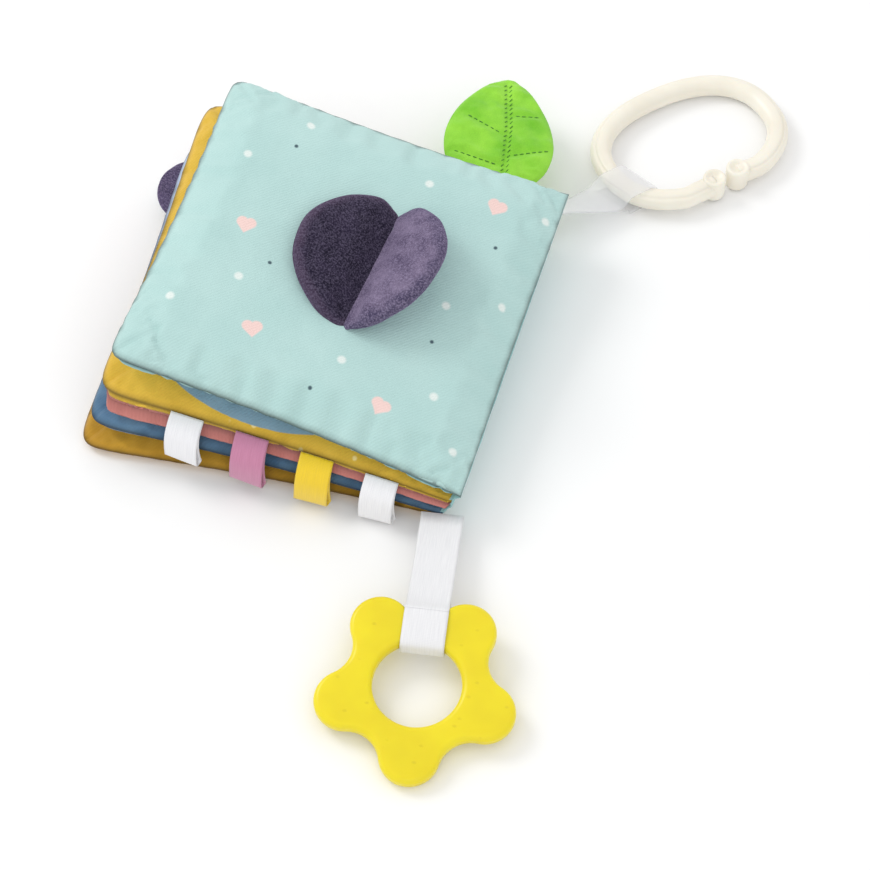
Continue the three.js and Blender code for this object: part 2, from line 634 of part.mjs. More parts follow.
// A ribbon loop from its root round a bar whose section is width by thick, and back to the root.
// Along the way it turns from lying along X at the root to lying along the bar.
function loopRibbon(root, bar, width) {
  const away = bar.point.clone().sub(root).setZ(0);
  const reach = away.length();
  away.normalize();
  const gap = (RIBBON + RIBBON_GAP) / 2;
  const clear = RIBBON / 2 + RIBBON_CLEAR;
  const rise = bar.thick / 2 + clear;
  const run = bar.width / 2 + clear;
  const near = -bar.width / 2;
  const barHeight = (out) => bar.point.z + bar.slope * out;
  const squared = (value) => Math.sign(value) * Math.abs(value) ** (2 / FOLD_POWER);
  const fold = FOLD_DEGREES.map((degrees) => {
    const out = run * squared(Math.cos(rad(degrees)));
    return [out, barHeight(out) + rise * squared(Math.sin(rad(degrees)))];
  });
  const pinch = near - RIBBON_SPREAD;
  const points = [
    [-reach, root.z + gap], [pinch, barHeight(near) + gap], ...fold,
    [pinch, barHeight(near) - gap], [-reach, root.z - gap],
  ];
  const path = points.map(([out, height]) => bar.point.clone().addScaledVector(away, out).setZ(height));
  const along = points.map(([out]) => vec(1, 0, 0).lerp(bar.along, clamp01((reach + out) / (reach + near))));
  return ribbonAlong(path, along.map((direction) => direction.normalize()), width);
}

// The line across a ribbon at its root, on which it lifts
function liftAxis(root, point) {
  return vec(0, 0, 1).cross(point.clone().sub(root).setZ(0)).normalize().negate();
}

function makeRingRibbon() {
  const angle = rad(RING_GRIP_DEGREES);
  const seat = ringSeat();
  const grip = ringPoint(angle).applyMatrix4(seat);
  const ahead = ringPoint(angle + Math.PI / RING_STEPS).applyMatrix4(seat);
  const along = ahead.sub(ringPoint(angle - Math.PI / RING_STEPS).applyMatrix4(seat)).setZ(0).normalize();
  if (along.x < 0) along.negate();
  const seamShare = (RING_RIBBON_Z - thirdLeaf.spineTop.z) / (secondLeaf.spineTop.z - thirdLeaf.spineTop.z);
  const root = thirdLeaf.spineTop.clone().lerp(secondLeaf.spineTop, seamShare);
  root.set(RING_RIBBON_X, root.y + SEAT_GAP, RING_RIBBON_Z);
  const bar = { point: grip, along, thick: 2 * RING_TUBE, width: 2 * (RING_TUBE + RING_BOW), slope: 0 };
  const axis = liftAxis(root, grip);
  hinges.ring_ribbon = { point: root.clone(), axis };
  hinges.ring = { point: grip.clone(), axis: axis.clone() };
  return namedMesh('ring_ribbon', loopRibbon(root, bar, RING_RIBBON_WIDTH), cloth(COLOURS.sheer, 0.4));
}

// Teether: round lobes joined by hollow fillets, a round hole and rounded edges
function teetherShape() {
  const share = Math.PI / TEETHER_LOBES;
  const [ring, lobe, valley] = [TEETHER_LOBE_CIRCLE, TEETHER_LOBE_RADIUS, TEETHER_VALLEY];
  const cosine = Math.cos(share);
  const top = lobe * lobe - ring * ring - valley * valley + 2 * ring * valley * cosine;
  const fillet = top / (2 * (valley - ring * cosine - lobe));
  const hollow = valley + fillet;
  const turn = Math.atan2(hollow * Math.sin(share), hollow * cosine - ring);
  const shape = new THREE.Shape();
  for (let i = 0; i < TEETHER_LOBES; i += 1) {
    const angle = 2 * share * i;
    const [x, y] = [ring * Math.cos(angle), ring * Math.sin(angle)];
    shape.absarc(x, y, lobe, angle - turn, angle + turn);
    const next = angle + share;
    const [hx, hy] = [hollow * Math.cos(next), hollow * Math.sin(next)];
    const swing = turn - share;
    shape.absarc(hx, hy, fillet, next + Math.PI + swing, next + Math.PI - swing, true);
  }
  const hole = new THREE.Path();
  const arc = (2 * Math.PI) / HOLE_ARCS;
  for (let i = 0; i < HOLE_ARCS; i += 1) {
    hole.absarc(0, 0, TEETHER_HOLE, -arc * i, -arc * (i + 1), true);
  }
  shape.holes.push(hole);
  return shape;
}

function teetherSeat() {
  const low = (TEETHER_LOBE_CIRCLE + TEETHER_LOBE_RADIUS) * Math.sin(rad(TEETHER_TILT_DEGREES));
  const seat = new THREE.Matrix4().makeTranslation(TEETHER_X, TEETHER_Y, low + TEETHER_THICK / 2);
  return turned(turned(seat, vec(0, 0, 1), TEETHER_TURN_DEGREES), vec(1, 0, 0), TEETHER_TILT_DEGREES);
}

function makeTeether() {
  const body = new THREE.ExtrudeGeometry(teetherShape(), {
    depth: TEETHER_THICK - 2 * TEETHER_EDGE, steps: 1, curveSegments: LOBE_STEPS,
    bevelThickness: TEETHER_EDGE, bevelSize: TEETHER_EDGE, bevelOffset: -TEETHER_EDGE, bevelSegments: 2,
  });
  body.translate(0, 0, TEETHER_EDGE - TEETHER_THICK / 2);
  body.rotateZ(rad(TEETHER_FIRST_LOBE_DEGREES));
  const material = cloth(COLOURS.teether, 0.3);
  return groupAt(teetherSeat(), namedMesh('teether', welded(body), material));
}

// The ribbon passes over one bar, out of the hole and back under; its edges clear the lobes beside it
function makeTeetherRibbon() {
  const seat = teetherSeat();
  const half = TEETHER_RIBBON_WIDTH / 2;
  const holeEdge = Math.sqrt(TEETHER_HOLE * TEETHER_HOLE - half * half);
  const valleyEdge = TEETHER_VALLEY + TEETHER_FLARE;
  const middle = (holeEdge + valleyEdge) / 2;
  const point = vec(0, middle, 0).applyMatrix4(seat);
  const along = vec(1, 0, 0).transformDirection(seat);
  const away = vec(-along.y, along.x, 0);
  const rootY = thirdLeaf.spineBottom.y - SEAT_GAP;
  const root = point.clone().addScaledVector(away, (rootY - point.y) / away.y).setZ(TEETHER_RIBBON_Z);
  const bar = {
    point, along, thick: TEETHER_THICK, width: valleyEdge - holeEdge,
    slope: -Math.sin(rad(TEETHER_TILT_DEGREES)),
  };
  const axis = liftAxis(root, point);
  hinges.teether_ribbon = { point: root.clone(), axis };
  hinges.teether = { point: point.clone(), axis: axis.clone() };
  return namedMesh('teether_ribbon', loopRibbon(root, bar, TEETHER_RIBBON_WIDTH), cloth(COLOURS.white, 0.4));
}

// Each upper leaf turns on a line half way between its spine seam and the one below it
[thirdLeaf, secondLeaf, frontCover].forEach((leaf, i) => {
  const under = leaves[i];
  const bottom = leaf.spineBottom.clone().lerp(under.spineBottom, 1 / 2);
  const top = leaf.spineTop.clone().lerp(under.spineTop, 1 / 2);
  const axis = top.clone().sub(bottom).normalize();
  hinges[['third_leaf', 'second_leaf', 'front_cover'][i]] = { point: bottom.lerp(top, 1 / 2), axis };
});

const book = new THREE.Group();
book.add(
  ...leafMeshes('back_leaf', backLeaf, COLOURS.mustard, COLOURS.mustard),
  ...leafMeshes('third_leaf', thirdLeaf, COLOURS.slate, COLOURS.slate),
  ...leafMeshes('second_leaf', secondLeaf, COLOURS.mustard, COLOURS.pink),
  ...leafMeshes('front_cover', frontCover, COLOURS.teal, COLOURS.teal),
  makeSpineCover(),
  makeHeartHalf(-1, 'left'),
  makeHeartHalf(1, 'right'),
  makeSprig(),
  makeEar(),
  ...makeTags(),
  makeRingRibbon(),
  makeRing(),
  makeTeetherRibbon(),
  makeTeether(),
);

// Stand the book with the bottom centre of its box at the origin
const box = new THREE.Box3().setFromObject(book, true);
const centre = box.getCenter(vec(0, 0, 0));
const shift = vec(-centre.x, -centre.y, -box.min.z);
book.children.forEach((child) => child.position.add(shift));
Object.values(hinges).forEach((hinge) => hinge.point.add(shift));
book.userData.hinges = hinges;

export default book;
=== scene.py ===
import json
import math

import bpy
import numpy as np
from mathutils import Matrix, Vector, noise

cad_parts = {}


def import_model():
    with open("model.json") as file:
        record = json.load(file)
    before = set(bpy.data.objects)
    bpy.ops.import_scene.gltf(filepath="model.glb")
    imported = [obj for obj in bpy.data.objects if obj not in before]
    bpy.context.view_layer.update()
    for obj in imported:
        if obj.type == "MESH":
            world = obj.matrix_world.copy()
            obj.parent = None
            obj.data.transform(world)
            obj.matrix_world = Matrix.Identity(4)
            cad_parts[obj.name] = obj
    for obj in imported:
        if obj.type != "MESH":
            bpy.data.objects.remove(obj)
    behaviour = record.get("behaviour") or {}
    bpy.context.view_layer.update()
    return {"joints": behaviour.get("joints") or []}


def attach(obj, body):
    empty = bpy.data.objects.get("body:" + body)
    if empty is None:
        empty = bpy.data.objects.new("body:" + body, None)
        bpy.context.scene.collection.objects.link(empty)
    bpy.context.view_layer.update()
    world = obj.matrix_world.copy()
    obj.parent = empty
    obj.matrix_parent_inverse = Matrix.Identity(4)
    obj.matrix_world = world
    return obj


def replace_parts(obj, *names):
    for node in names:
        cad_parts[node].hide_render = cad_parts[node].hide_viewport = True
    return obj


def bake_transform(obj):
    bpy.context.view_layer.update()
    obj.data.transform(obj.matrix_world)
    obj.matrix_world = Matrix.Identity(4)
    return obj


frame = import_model()
scene = bpy.context.scene
scene.view_settings.view_transform = "Standard"

MM = 0.001
CAMERA_AT = (0.1326, -0.5654, 0.82025)
CAMERA_LOOKS_AT = (0.0119, -0.02545, 0.0)
CAMERA_LENS = 107.2
SENSOR_WIDTH = 36


def place_aimed(name, data, place, aim):
    """A new camera or light at a place, pointed at another."""
    obj = bpy.data.objects.new(name, data)
    scene.collection.objects.link(obj)
    obj.location = place
    obj.rotation_euler = (Vector(aim) - Vector(place)).to_track_quat("-Z", "Y").to_euler()
    return obj


camera_data = bpy.data.cameras.new("camera")
camera_data.lens = CAMERA_LENS
camera_data.sensor_width = SENSOR_WIDTH
scene.camera = place_aimed("camera", camera_data, CAMERA_AT, CAMERA_LOOKS_AT)

# Measures of the book in millimetres, as in the CAD source
PAGE = 140.0
SEAM_HALF = 0.8
EDGE_ROLL = 14.0
DRAW_IN = 1.6
BACK_DEPTH = 3.5
CROWN = 5.6
LOW_CROWN = 4.3
LEAF_CLEAR = 0.5
SPINE_RISE_BOTTOM = 14.8
SPINE_RISE_TOP = 26.3
FORE_RISE_BOTTOM = 45.5
FORE_RISE_TOP = 47.3
SPINE_LEAN = 15.9
LEAF_SLIP = 2.5
SPINE_BOTTOMS = (0, 0.311, 0.669, 1)
SPINE_TOPS = (0, 0.262, 0.673, 1)
FORE_BOTTOMS = (0, 0.268, 0.571, 1)
FORE_TOPS = (0, 0.334, 0.725, 1)
LEANS = (0, 0.377, 0.679, 1)
SLIPS = (0, 1, 0, 0)
YAWS = (0, -2.4, -4, -5.3)
# How far each leaf's fore-edge is pushed out at the top, and how square its corners are
TOP_PUSHES = (-3.6, 2.4, 3.4, 0)
CORNER_POWERS = (15, 15, 15, 24)
SEAT_GAP = 0.3
LEAF_NAMES = ("back_leaf", "third_leaf", "second_leaf", "front_cover")
EAST = np.array((1.0, 0, 0))
UP = np.array((0, 0, 1.0))


def unit(vector):
    """The vector, or each of an array's rows, at length 1."""
    return vector / np.linalg.norm(vector, axis=-1, keepdims=True)


def lerp(a, b, share):
    return a + (b - a) * share


def roll(distance, width):
    share = 1 - np.clip(distance / width, 0, 1)
    return np.sqrt(np.maximum(0, 1 - share * share))


def smooth(value):
    value = np.clip(value, 0, 1)
    return value * value * (3 - 2 * value)


def bumps(points, size, seed):
    """Soft noise from -1 to 1 at an array of points, with features of that size."""
    values = [noise.fractal(Vector(p), 1.0, 2.0, 2) for p in points.reshape(-1, 3) / size + seed]
    return np.clip(np.array(values).reshape(points.shape[:-1]) * 1.3, -1, 1)


def through(points, places):
    """Points on a smooth curve through the given points, at places from 0 to 1."""
    p = np.asarray(points, float)
    p = np.vstack([2 * p[0] - p[1], p, 2 * p[-1] - p[-2]])
    x = np.clip(np.asarray(places, float), 0, 1) * (len(p) - 3)
    i = np.minimum(x.astype(int), len(p) - 4)
    f = (x - i)[..., None]
    a, b, c, d = p[i], p[i + 1], p[i + 2], p[i + 3]
    square, cube = 2 * a - 5 * b + 4 * c - d, 3 * b - a - 3 * c + d
    return 0.5 * (2 * b + (c - a) * f + square * f**2 + cube * f**3)


class Leaf:
    """A leaf's flat middle. u goes from the spine to the fore-edge, v from the bottom edge up."""

    def __init__(self, k):
        self.k = k
        self.name = LEAF_NAMES[k]
        yaw = math.radians(YAWS[k])
        self.along = np.array((-math.sin(yaw), math.cos(yaw), 0))
        to_fore = np.array((-math.cos(yaw), -math.sin(yaw), 0))
        centre = np.array((-SPINE_LEAN * (1 - LEANS[k]), PAGE / 2 - LEAF_SLIP * SLIPS[k], 0))
        corners = []
        for side, spine_z, fore_z in (
            (-1, SPINE_RISE_BOTTOM * SPINE_BOTTOMS[k], FORE_RISE_BOTTOM * FORE_BOTTOMS[k]),
            (1, SPINE_RISE_TOP * SPINE_TOPS[k], FORE_RISE_TOP * FORE_TOPS[k]),
        ):
            point = centre + self.along * side * PAGE / 2
            point[2] = BACK_DEPTH + spine_z
            fore = point + to_fore * math.sqrt(PAGE**2 - (fore_z - spine_z) ** 2)
            fore[2] = BACK_DEPTH + fore_z
            corners += [point, fore]
        self.spine_bottom, self.fore_bottom, self.spine_top, self.fore_top = corners
        self.right = unit(self.spine_bottom + self.spine_top - self.fore_bottom - self.fore_top)
        up = self.spine_top + self.fore_top - self.spine_bottom - self.fore_bottom
        self.normal = unit(np.cross(self.right, up))
        self.ahead = np.cross(self.normal, self.right)

    def plain(self, u, v):
        u, v = np.asarray(u)[..., None], np.asarray(v)[..., None]
        low = lerp(self.spine_bottom, self.fore_bottom, u)
        high = lerp(self.spine_top, self.fore_top, u)
        return lerp(low, high, v)

    def shares(self, s, t):
        """Shares from the spine and from the bottom edge, with round corners and drawn-in edges."""
        power = CORNER_POWERS[self.k]
        big = np.maximum(abs(s), abs(t))
        bent = (abs(s) ** power + abs(t) ** power) ** (1 / power)
        shrink = np.where((big > 0) & (s < 0), big / np.maximum(bent, 1e-9), 1)
        pull = DRAW_IN / (PAGE / 2)
        x = s * shrink * (1 - pull * (s < 0) * s * s * (1 - t * t))
        y = t * shrink * (1 - pull * t * t * (1 - s * s))
        u, v = (1 - x) / 2, (1 + y) / 2
        return u + TOP_PUSHES[self.k] / PAGE * smooth(u) * smooth(v * 1.3 - 0.3), v

    def place(self, from_spine, from_bottom, height):
        """Origin and axes of a seat on the leaf."""
        point = self.plain(from_spine / PAGE, from_bottom / PAGE) + self.normal * height
        return Seat(point, self.right, self.ahead, self.normal)


class Seat:
    """A place with three axes, where a piece in its own coordinates is put."""

    def __init__(self, point, x, y, z):
        self.point = np.asarray(point, float)
        self.axes = np.array((x, y, z), float)

    def turned(self, axis, degrees):
        angle = math.radians(degrees)
        i, j = {"x": (1, 2), "y": (2, 0), "z": (0, 1)}[axis]
        axes = self.axes.copy()
        axes[i] = self.axes[i] * math.cos(angle) + self.axes[j] * math.sin(angle)
        axes[j] = self.axes[j] * math.cos(angle) - self.axes[i] * math.sin(angle)
        return Seat(self.point, *axes)

    def moved(self, x, y, z):
        return Seat(self.point + np.array((x, y, z)) @ self.axes, *self.axes)

    def at(self, points):
        return np.asarray(points, float) @ self.axes + self.point


def level_seat(x, y, z):
    return Seat((x, y, z), *np.eye(3))


def half_gap(k, u, v):
    """Half the distance from leaf k's middle to the next one's."""
    def rise(bottom, bottoms, top, tops):
        return lerp(bottom * (bottoms[k + 1] - bottoms[k]), top * (tops[k + 1] - tops[k]), v)

    spine = rise(SPINE_RISE_BOTTOM, SPINE_BOTTOMS, SPINE_RISE_TOP, SPINE_TOPS)
    fore = rise(FORE_RISE_BOTTOM, FORE_BOTTOMS, FORE_RISE_TOP, FORE_TOPS)
    return lerp(spine, fore, u) / 2


leaves = [Leaf(k) for k in range(4)]
back_leaf, third_leaf, second_leaf, front_cover = leaves

# The book's own coordinates against the frame's, from a hinge that both know
known = (second_leaf.plain(0, 0.5) + front_cover.plain(0, 0.5)) / 2
hinge = next(j for j in frame["joints"] if j["name"] == "front_cover_hinge")
SHIFT = np.array(hinge["pos_m"]) / MM - known


def world(points):
    return (np.asarray(points, float) + SHIFT) * MM


def make_object(name, points, faces, lay=None, material=None, seam=None):
    """A smooth mesh from points in book millimetres. seam is 1 in a seam and 0 away from it."""
    mesh = bpy.data.meshes.new(name)
    mesh.from_pydata(world(points).reshape(-1, 3).tolist(), [], [list(map(int, f)) for f in faces])
    mesh.update()
    for label, kind, field, values in (
        ("lay", "FLOAT_VECTOR", "vector", lay), ("seam", "FLOAT", "value", seam)):
        if values is not None:
            attribute = mesh.attributes.new(label, kind, "POINT")
            attribute.data.foreach_set(field, np.asarray(values, np.float32).ravel())
    mesh.polygons.foreach_set("use_smooth", [True] * len(mesh.polygons))
    obj = bpy.data.objects.new(name, mesh)
    scene.collection.objects.link(obj)
    if material:
        mesh.materials.append(material)
    return obj


def slab_faces(rows, columns):
    """Faces of a closed solid whose upper and lower grids have that many rows and columns."""
    layer = rows * columns
    i, j = np.meshgrid(np.arange(rows - 1), np.arange(columns - 1), indexing="ij")
    a = (i * columns + j).ravel()
    quads = np.stack([a, a + columns, a + columns + 1, a + 1], 1)
    under = np.stack([a, a + 1, a + columns + 1, a + columns], 1) + layer
    faces = [quads, under]
    for line, flip in (
        (np.arange(rows) * columns, False), (np.arange(rows) * columns + columns - 1, True),
        (np.arange(columns), True), (np.arange(columns) + (rows - 1) * columns, False),
    ):
        a, b = line[:-1], line[1:]
        side = np.stack([a, a + layer, b + layer, b], 1)
        faces.append(side[:, ::-1] if flip else side)
    return np.vstack(faces)


def outward(points, faces):
    """The faces, turned over if they all point inwards."""
    p = np.asarray(points, float).reshape(-1, 3)
    p = p - p.mean(0)
    a, b, c, d = (p[faces[:, n]] for n in range(4))
    volume = (a * (np.cross(b, c) + np.cross(c, d))).sum()
    return faces if volume > 0 else faces[:, ::-1]


def make_slab(name, high, low, lay=None, material=None, seam=None):
    """A closed solid between two grids of points."""
    rows, columns = high.shape[:2]
    points = np.concatenate([high.reshape(-1, 3), low.reshape(-1, 3)])
    faces = outward(points, slab_faces(rows, columns))
    if lay is not None:
        lay = np.concatenate([lay.reshape(-1, 3)] * 2)
    if seam is not None:
        seam = np.concatenate([seam.ravel()] * 2)
    return make_object(name, points, faces, lay, material, seam)


def finer(grid):
    """The grid with a new row and column between each two, on smooth curves."""
    for axis in (0, 1):
        g = np.moveaxis(grid, axis, 0)
        padded = np.concatenate([2 * g[:1] - g[1:2], g, 2 * g[-1:] - g[-2:-1]])
        between = (9 * (g[:-1] + g[1:]) - padded[:-3] - padded[3:]) / 16
        out = np.empty((2 * len(g) - 1,) + g.shape[1:])
        out[::2], out[1::2] = g, between
        grid = np.moveaxis(out, 0, axis)
    return grid


def finer_values(values):
    return finer(values[..., None])[..., 0]


# The simulation works ten times larger, where Blender's cloth is steadier
SIM_SCALE = 10
SETTLE_FRAMES = 18
CLOTH_SETTINGS = {
    "quality": 5, "mass": 0.2, "tension_stiffness": 12, "compression_stiffness": 12,
    "shear_stiffness": 4, "bending_stiffness": 0.12, "use_pressure": True,
    "vertex_group_mass": "held", "pin_stiffness": 1}


def settle(top, bottom, pinned, pressure, growth):
    """Lets two cloths sewn together along their border swell and buckle.
    The cloths are grids of points; pinned says how firmly each point is held, from 0 to 1."""
    rows, columns = top.shape[:2]
    inner = np.zeros((rows, columns), bool)
    inner[1:-1, 1:-1] = True
    index = np.arange(rows * columns).reshape(rows, columns)
    under = index.copy()
    under[inner] = rows * columns + np.arange(inner.sum())
    points = np.concatenate([top.reshape(-1, 3), bottom[inner]]) * MM * SIM_SCALE
    faces = []
    for grid, flip in ((index, False), (under, True)):
        quads = np.stack([grid[:-1, :-1], grid[1:, :-1], grid[1:, 1:], grid[:-1, 1:]], -1)
        quads = quads.reshape(-1, 4)
        faces.append(quads[:, ::-1] if flip else quads)
    mesh = bpy.data.meshes.new("sewn")
    mesh.from_pydata(points.tolist(), [], np.concatenate(faces).tolist())
    sewn = bpy.data.objects.new("sewn", mesh)
    scene.collection.objects.link(sewn)
    held = sewn.vertex_groups.new(name="held")
    weights = np.concatenate([pinned.ravel(), pinned[inner]]).round(2)
    for level in np.unique(weights):
        held.add(np.nonzero(weights == level)[0].tolist(), float(level), "REPLACE")
    cloth = sewn.modifiers.new("cloth", "CLOTH")
    for setting, value in CLOTH_SETTINGS.items():
        setattr(cloth.settings, setting, value)
    cloth.settings.uniform_pressure_force = pressure
    cloth.settings.shrink_min = -growth
    cloth.settings.effector_weights.gravity = 0
    cloth.collision_settings.use_collision = False
    cloth.point_cache.frame_start = 1
    cloth.point_cache.frame_end = SETTLE_FRAMES
    for step in range(1, SETTLE_FRAMES + 1):
        scene.frame_set(step)
    shaped = sewn.evaluated_get(bpy.context.evaluated_depsgraph_get()).to_mesh()
    result = np.zeros(len(shaped.vertices) * 3)
    shaped.vertices.foreach_get("co", result)
    result = result.reshape(-1, 3) / MM / SIM_SCALE
    bpy.data.objects.remove(sewn)
    scene.frame_set(1)
    return result[index], result[under]


def capped(shaped, start, most):
    """The shaped points, none of them further than that from where it started."""
    move = shaped - start
    length = np.linalg.norm(move, axis=-1, keepdims=True)
    return start + move * np.minimum(1, most / np.maximum(length, 1e-9))


# Materials


def srgb(red, green, blue):
    """A colour given in the usual 0 to 255, as the shader wants it."""
    def linear(value):
        value /= 255
        return value / 12.92 if value <= 0.04045 else ((value + 0.055) / 1.055) ** 2.4

    return (linear(red), linear(green), linear(blue), 1)


class Finish:
    """A material under construction: each call adds a node and returns its first output."""

    def __init__(self, name, rough, sheen=0.0, specular=0.5, **sockets):
        self.material = bpy.data.materials.new(name)
        self.material.use_nodes = True
        self.tree = self.material.node_tree
        self.shader = self.tree.nodes["Principled BSDF"]
        sockets.update(Roughness=rough, Specular_IOR_Level=specular, Sheen_Weight=sheen)
        for socket, value in sockets.items():
            self.shader.inputs[socket.replace("_", " ")].default_value = value

    def node(self, kind, settings=None, out=0, **inputs):
        node = self.tree.nodes.new(kind)
        for key, value in (settings or {}).items():
            setattr(node, key, value)
        for key, value in inputs.items():
            numbered = key[0] == "i" and key[1:].isdigit()
            socket = node.inputs[int(key[1:]) if numbered else key]
            if isinstance(value, bpy.types.NodeSocket):
                self.tree.links.new(value, socket)
            else:
                socket.default_value = value
        return node.outputs[out]

    def math(self, operation, first, second=0.0):
        return self.node("ShaderNodeMath", {"operation": operation}, i0=first, i1=second)

    def lay(self):
        """A point's place on the flat cloth, in millimetres, which make_object stores."""
        return self.node("ShaderNodeAttribute", {"attribute_name": "lay"}, out=1)

    def body(self):
        """A point's place in the piece's own coordinates, in metres."""
        return self.node("ShaderNodeTexCoord", out=3)

    def noise(self, vector, scale, detail=2.0, rough=0.5):
        return self.node(
            "ShaderNodeTexNoise", Vector=vector, Scale=scale, Detail=detail, Roughness=rough)

    def spots(self, vector, scale, randomness):
        """The distance to the nearest of many loosely spaced points."""
        return self.node(
            "ShaderNodeTexVoronoi", {"feature": "F1"},
            Vector=vector, Scale=scale, Randomness=randomness)

    def vector_math(self, operation, first, second):
        return self.node("ShaderNodeVectorMath", {"operation": operation}, 1, i0=first, i1=second)

    def away(self, vector, x=0, y=0):
        return self.vector_math("DISTANCE", vector, (x, y, 0))

    def stripes(self, vector, direction):
        """A sine from -1 to 1 along a direction, whose length is the number of radians per unit."""
        return self.math("SINE", self.vector_math("DOT_PRODUCT", vector, direction))

    def moved(self, vector, place, size, lean=0):
        """The vector in a mark's own coordinates, where its half sizes are 1."""
        return self.node(
            "ShaderNodeMapping", {"vector_type": "TEXTURE"}, i0=vector, i1=(*place, 0),
            i2=(0, 0, math.radians(lean)), i3=(*size, 1))

    def stretched(self, vector, scales):
        return self.node("ShaderNodeMapping", i0=vector, i3=scales)

    def ramp(self, value, low, high, to_low=0.0, to_high=1.0):
        return self.node("ShaderNodeMapRange", i0=value, i1=low, i2=high, i3=to_low, i4=to_high)

    def mix(self, share, first, second, blend="MIX"):
        settings = {"data_type": "RGBA", "blend_type": blend}
        return self.node("ShaderNodeMix", settings, 2, i0=share, i6=first, i7=second)

    def between(self, value, low, high, first, second):
        """The first colour where the value is low, running over to the second where it is high."""
        return self.mix(self.ramp(value, low, high), srgb(*first), srgb(*second))

    def shade(self, colour, grey):
        return self.mix(1.0, colour, grey, "MULTIPLY")

    def colour(self, value):
        self.tree.links.new(value, self.shader.inputs["Base Color"])

    def bump(self, height, distance, strength=1.0):
        normal = self.shader.inputs["Normal"]
        before = normal.links[0].from_socket if normal.links else None
        node = self.tree.nodes.new("ShaderNodeBump")
        node.inputs["Strength"].default_value = strength
        node.inputs["Distance"].default_value = distance * MM
        self.tree.links.new(height, node.inputs["Height"])
        if before:
            self.tree.links.new(before, node.inputs["Normal"])
        self.tree.links.new(node.outputs[0], normal)


TWILL = 1.05


def twill_height(finish, lay):
    """Diagonal ribs crossed by finer threads, broken up a little."""
    step = 2 * math.pi / TWILL / math.sqrt(2)
    waves = finish.node("ShaderNodeTexNoise", out=1, Vector=lay, Scale=0.35)
    wander = finish.node(
        "ShaderNodeVectorMath", {"operation": "MULTIPLY_ADD"}, i0=waves, i1=(0.5, 0.5, 0.0), i2=lay)
    ribs = finish.stripes(wander, (step, -step, 0))
    threads = finish.stripes(lay, (2 * step, 2 * step, 0))
    return finish.math("ADD", ribs, finish.math("MULTIPLY", threads, 0.35))


def cloth_base(name, light, dark, print_and_light=None):
    """Printed twill; on the third leaf the function given last adds painted light in place of a
    print. light and dark are the yarn's colours in and out of the light.
    """
    finish = Finish(name, 0.85, 0.15, 0.25, Sheen_Roughness=0.6)
    lay = finish.lay()
    colour = finish.between(finish.noise(lay, 0.035, 3.0, 0.55), 0.32, 0.68, light, dark)
    if print_and_light:
        colour = print_and_light(finish, lay, colour)
    height = twill_height(finish, lay)
    ribs = finish.ramp(height, -1.3, 1.3, 0.978, 1.022)
    flecks = finish.ramp(finish.noise(lay, 2.2, 2.0), 0.3, 0.7, 0.965, 1.035)
    colour = finish.shade(colour, finish.math("MULTIPLY", ribs, flecks))
    # Painted shade: the colour darkens to 0.3 of itself towards the seams
    near_seam = finish.node("ShaderNodeAttribute", {"attribute_name": "seam"}, out=2)
    finish.colour(finish.shade(colour, finish.ramp(near_seam, 0.08, 1.0, 1.0, 0.3)))
    finish.bump(finish.noise(lay, 0.22, 3.0), 0.5, 0.5)
    finish.bump(height, 0.045, 0.6)
    return finish.material


# The cover's print: places in millimetres from the spine and from the bottom edge
CREAM = srgb(236, 240, 236)
PEACH = srgb(243, 206, 200)
INK = srgb(38, 62, 78)
CREAM_DOTS = (
    (-121.2, 101.2), (-103, 124), (-52.2, 116.9), (-105.7, 48.1), (-125.8, 29.7), (-58.7, 30.3),
    (-22.3, 30.1), (-8.4, 13.2), (-29.7, 68.1), (-8.7, 77.6), (-5.1, 121.5))
INK_DOTS = ((-105.1, 112.2), (-97, 58.5), (-19.9, 99.6), (-29.9, 51.3), (-65.6, 14.3))
PEACH_HEARTS = ((-111, 70, 6), (-25.1, 116.3, -8), (-93.3, 28.5, 18), (-39.5, 17.3, -12))
PRINT_HEART = 4.5


def add_marks(finish, colour, masks, paint):
    """The colour with paint wherever one of the masks is set."""
    anywhere = masks[0]
    for mask in masks[1:]:
        anywhere = finish.math("MAXIMUM", anywhere, mask)
    return finish.mix(anywhere, colour, paint)


def dot_masks(finish, lay, places, radius, softness, cover):
    return [
        finish.ramp(finish.away(lay, x, y), radius - softness, radius + softness, cover, 0.0)
        for x, y in places]


def heart_mask(finish, lay, x, y, lean):
    """A small plain heart: two circles over a square standing on its corner."""
    local = finish.moved(lay, (x, y), (PRINT_HEART, PRINT_HEART), lean)
    parts = finish.node("ShaderNodeSeparateXYZ", i0=local)
    across, upward = finish.math("ABSOLUTE", parts), parts.node.outputs[1]
    corner = finish.math("ADD", across, finish.math("ABSOLUTE", upward))
    pair = finish.node("ShaderNodeCombineXYZ", i0=across, i1=upward)
    lobe = finish.ramp(finish.away(pair, 0.36, 0.36), 0.43, 0.58, 0.9, 0.0)
    return finish.math("MAXIMUM", finish.ramp(corner, 0.62, 0.8, 0.9, 0.0), lobe)


def cover_print(finish, lay, colour):
    hearts = [heart_mask(finish, lay, *heart) for heart in PEACH_HEARTS]
    colour = add_marks(finish, colour, dot_masks(finish, lay, CREAM_DOTS, 1.6, 0.5, 0.75), CREAM)
    colour = add_marks(finish, colour, hearts, PEACH)
    return add_marks(finish, colour, dot_masks(finish, lay, INK_DOTS, 0.75, 0.25, 0.9), INK)


def dotted_page(finish, lay, colour):
    """Small pale dots on a loose grid, and a plain oval in slate near the page's foot."""
    dots = finish.ramp(finish.spots(lay, 0.1, 0.55), 0.1, 0.14, 0.8, 0.0)
    colour = finish.mix(dots, colour, srgb(246, 226, 160))
    away = finish.away(finish.moved(lay, (-80, 19), (38, 15.5)))
    return finish.mix(finish.ramp(away, 0.98, 1.0, 1.0, 0.0), colour, srgb(128, 158, 176))


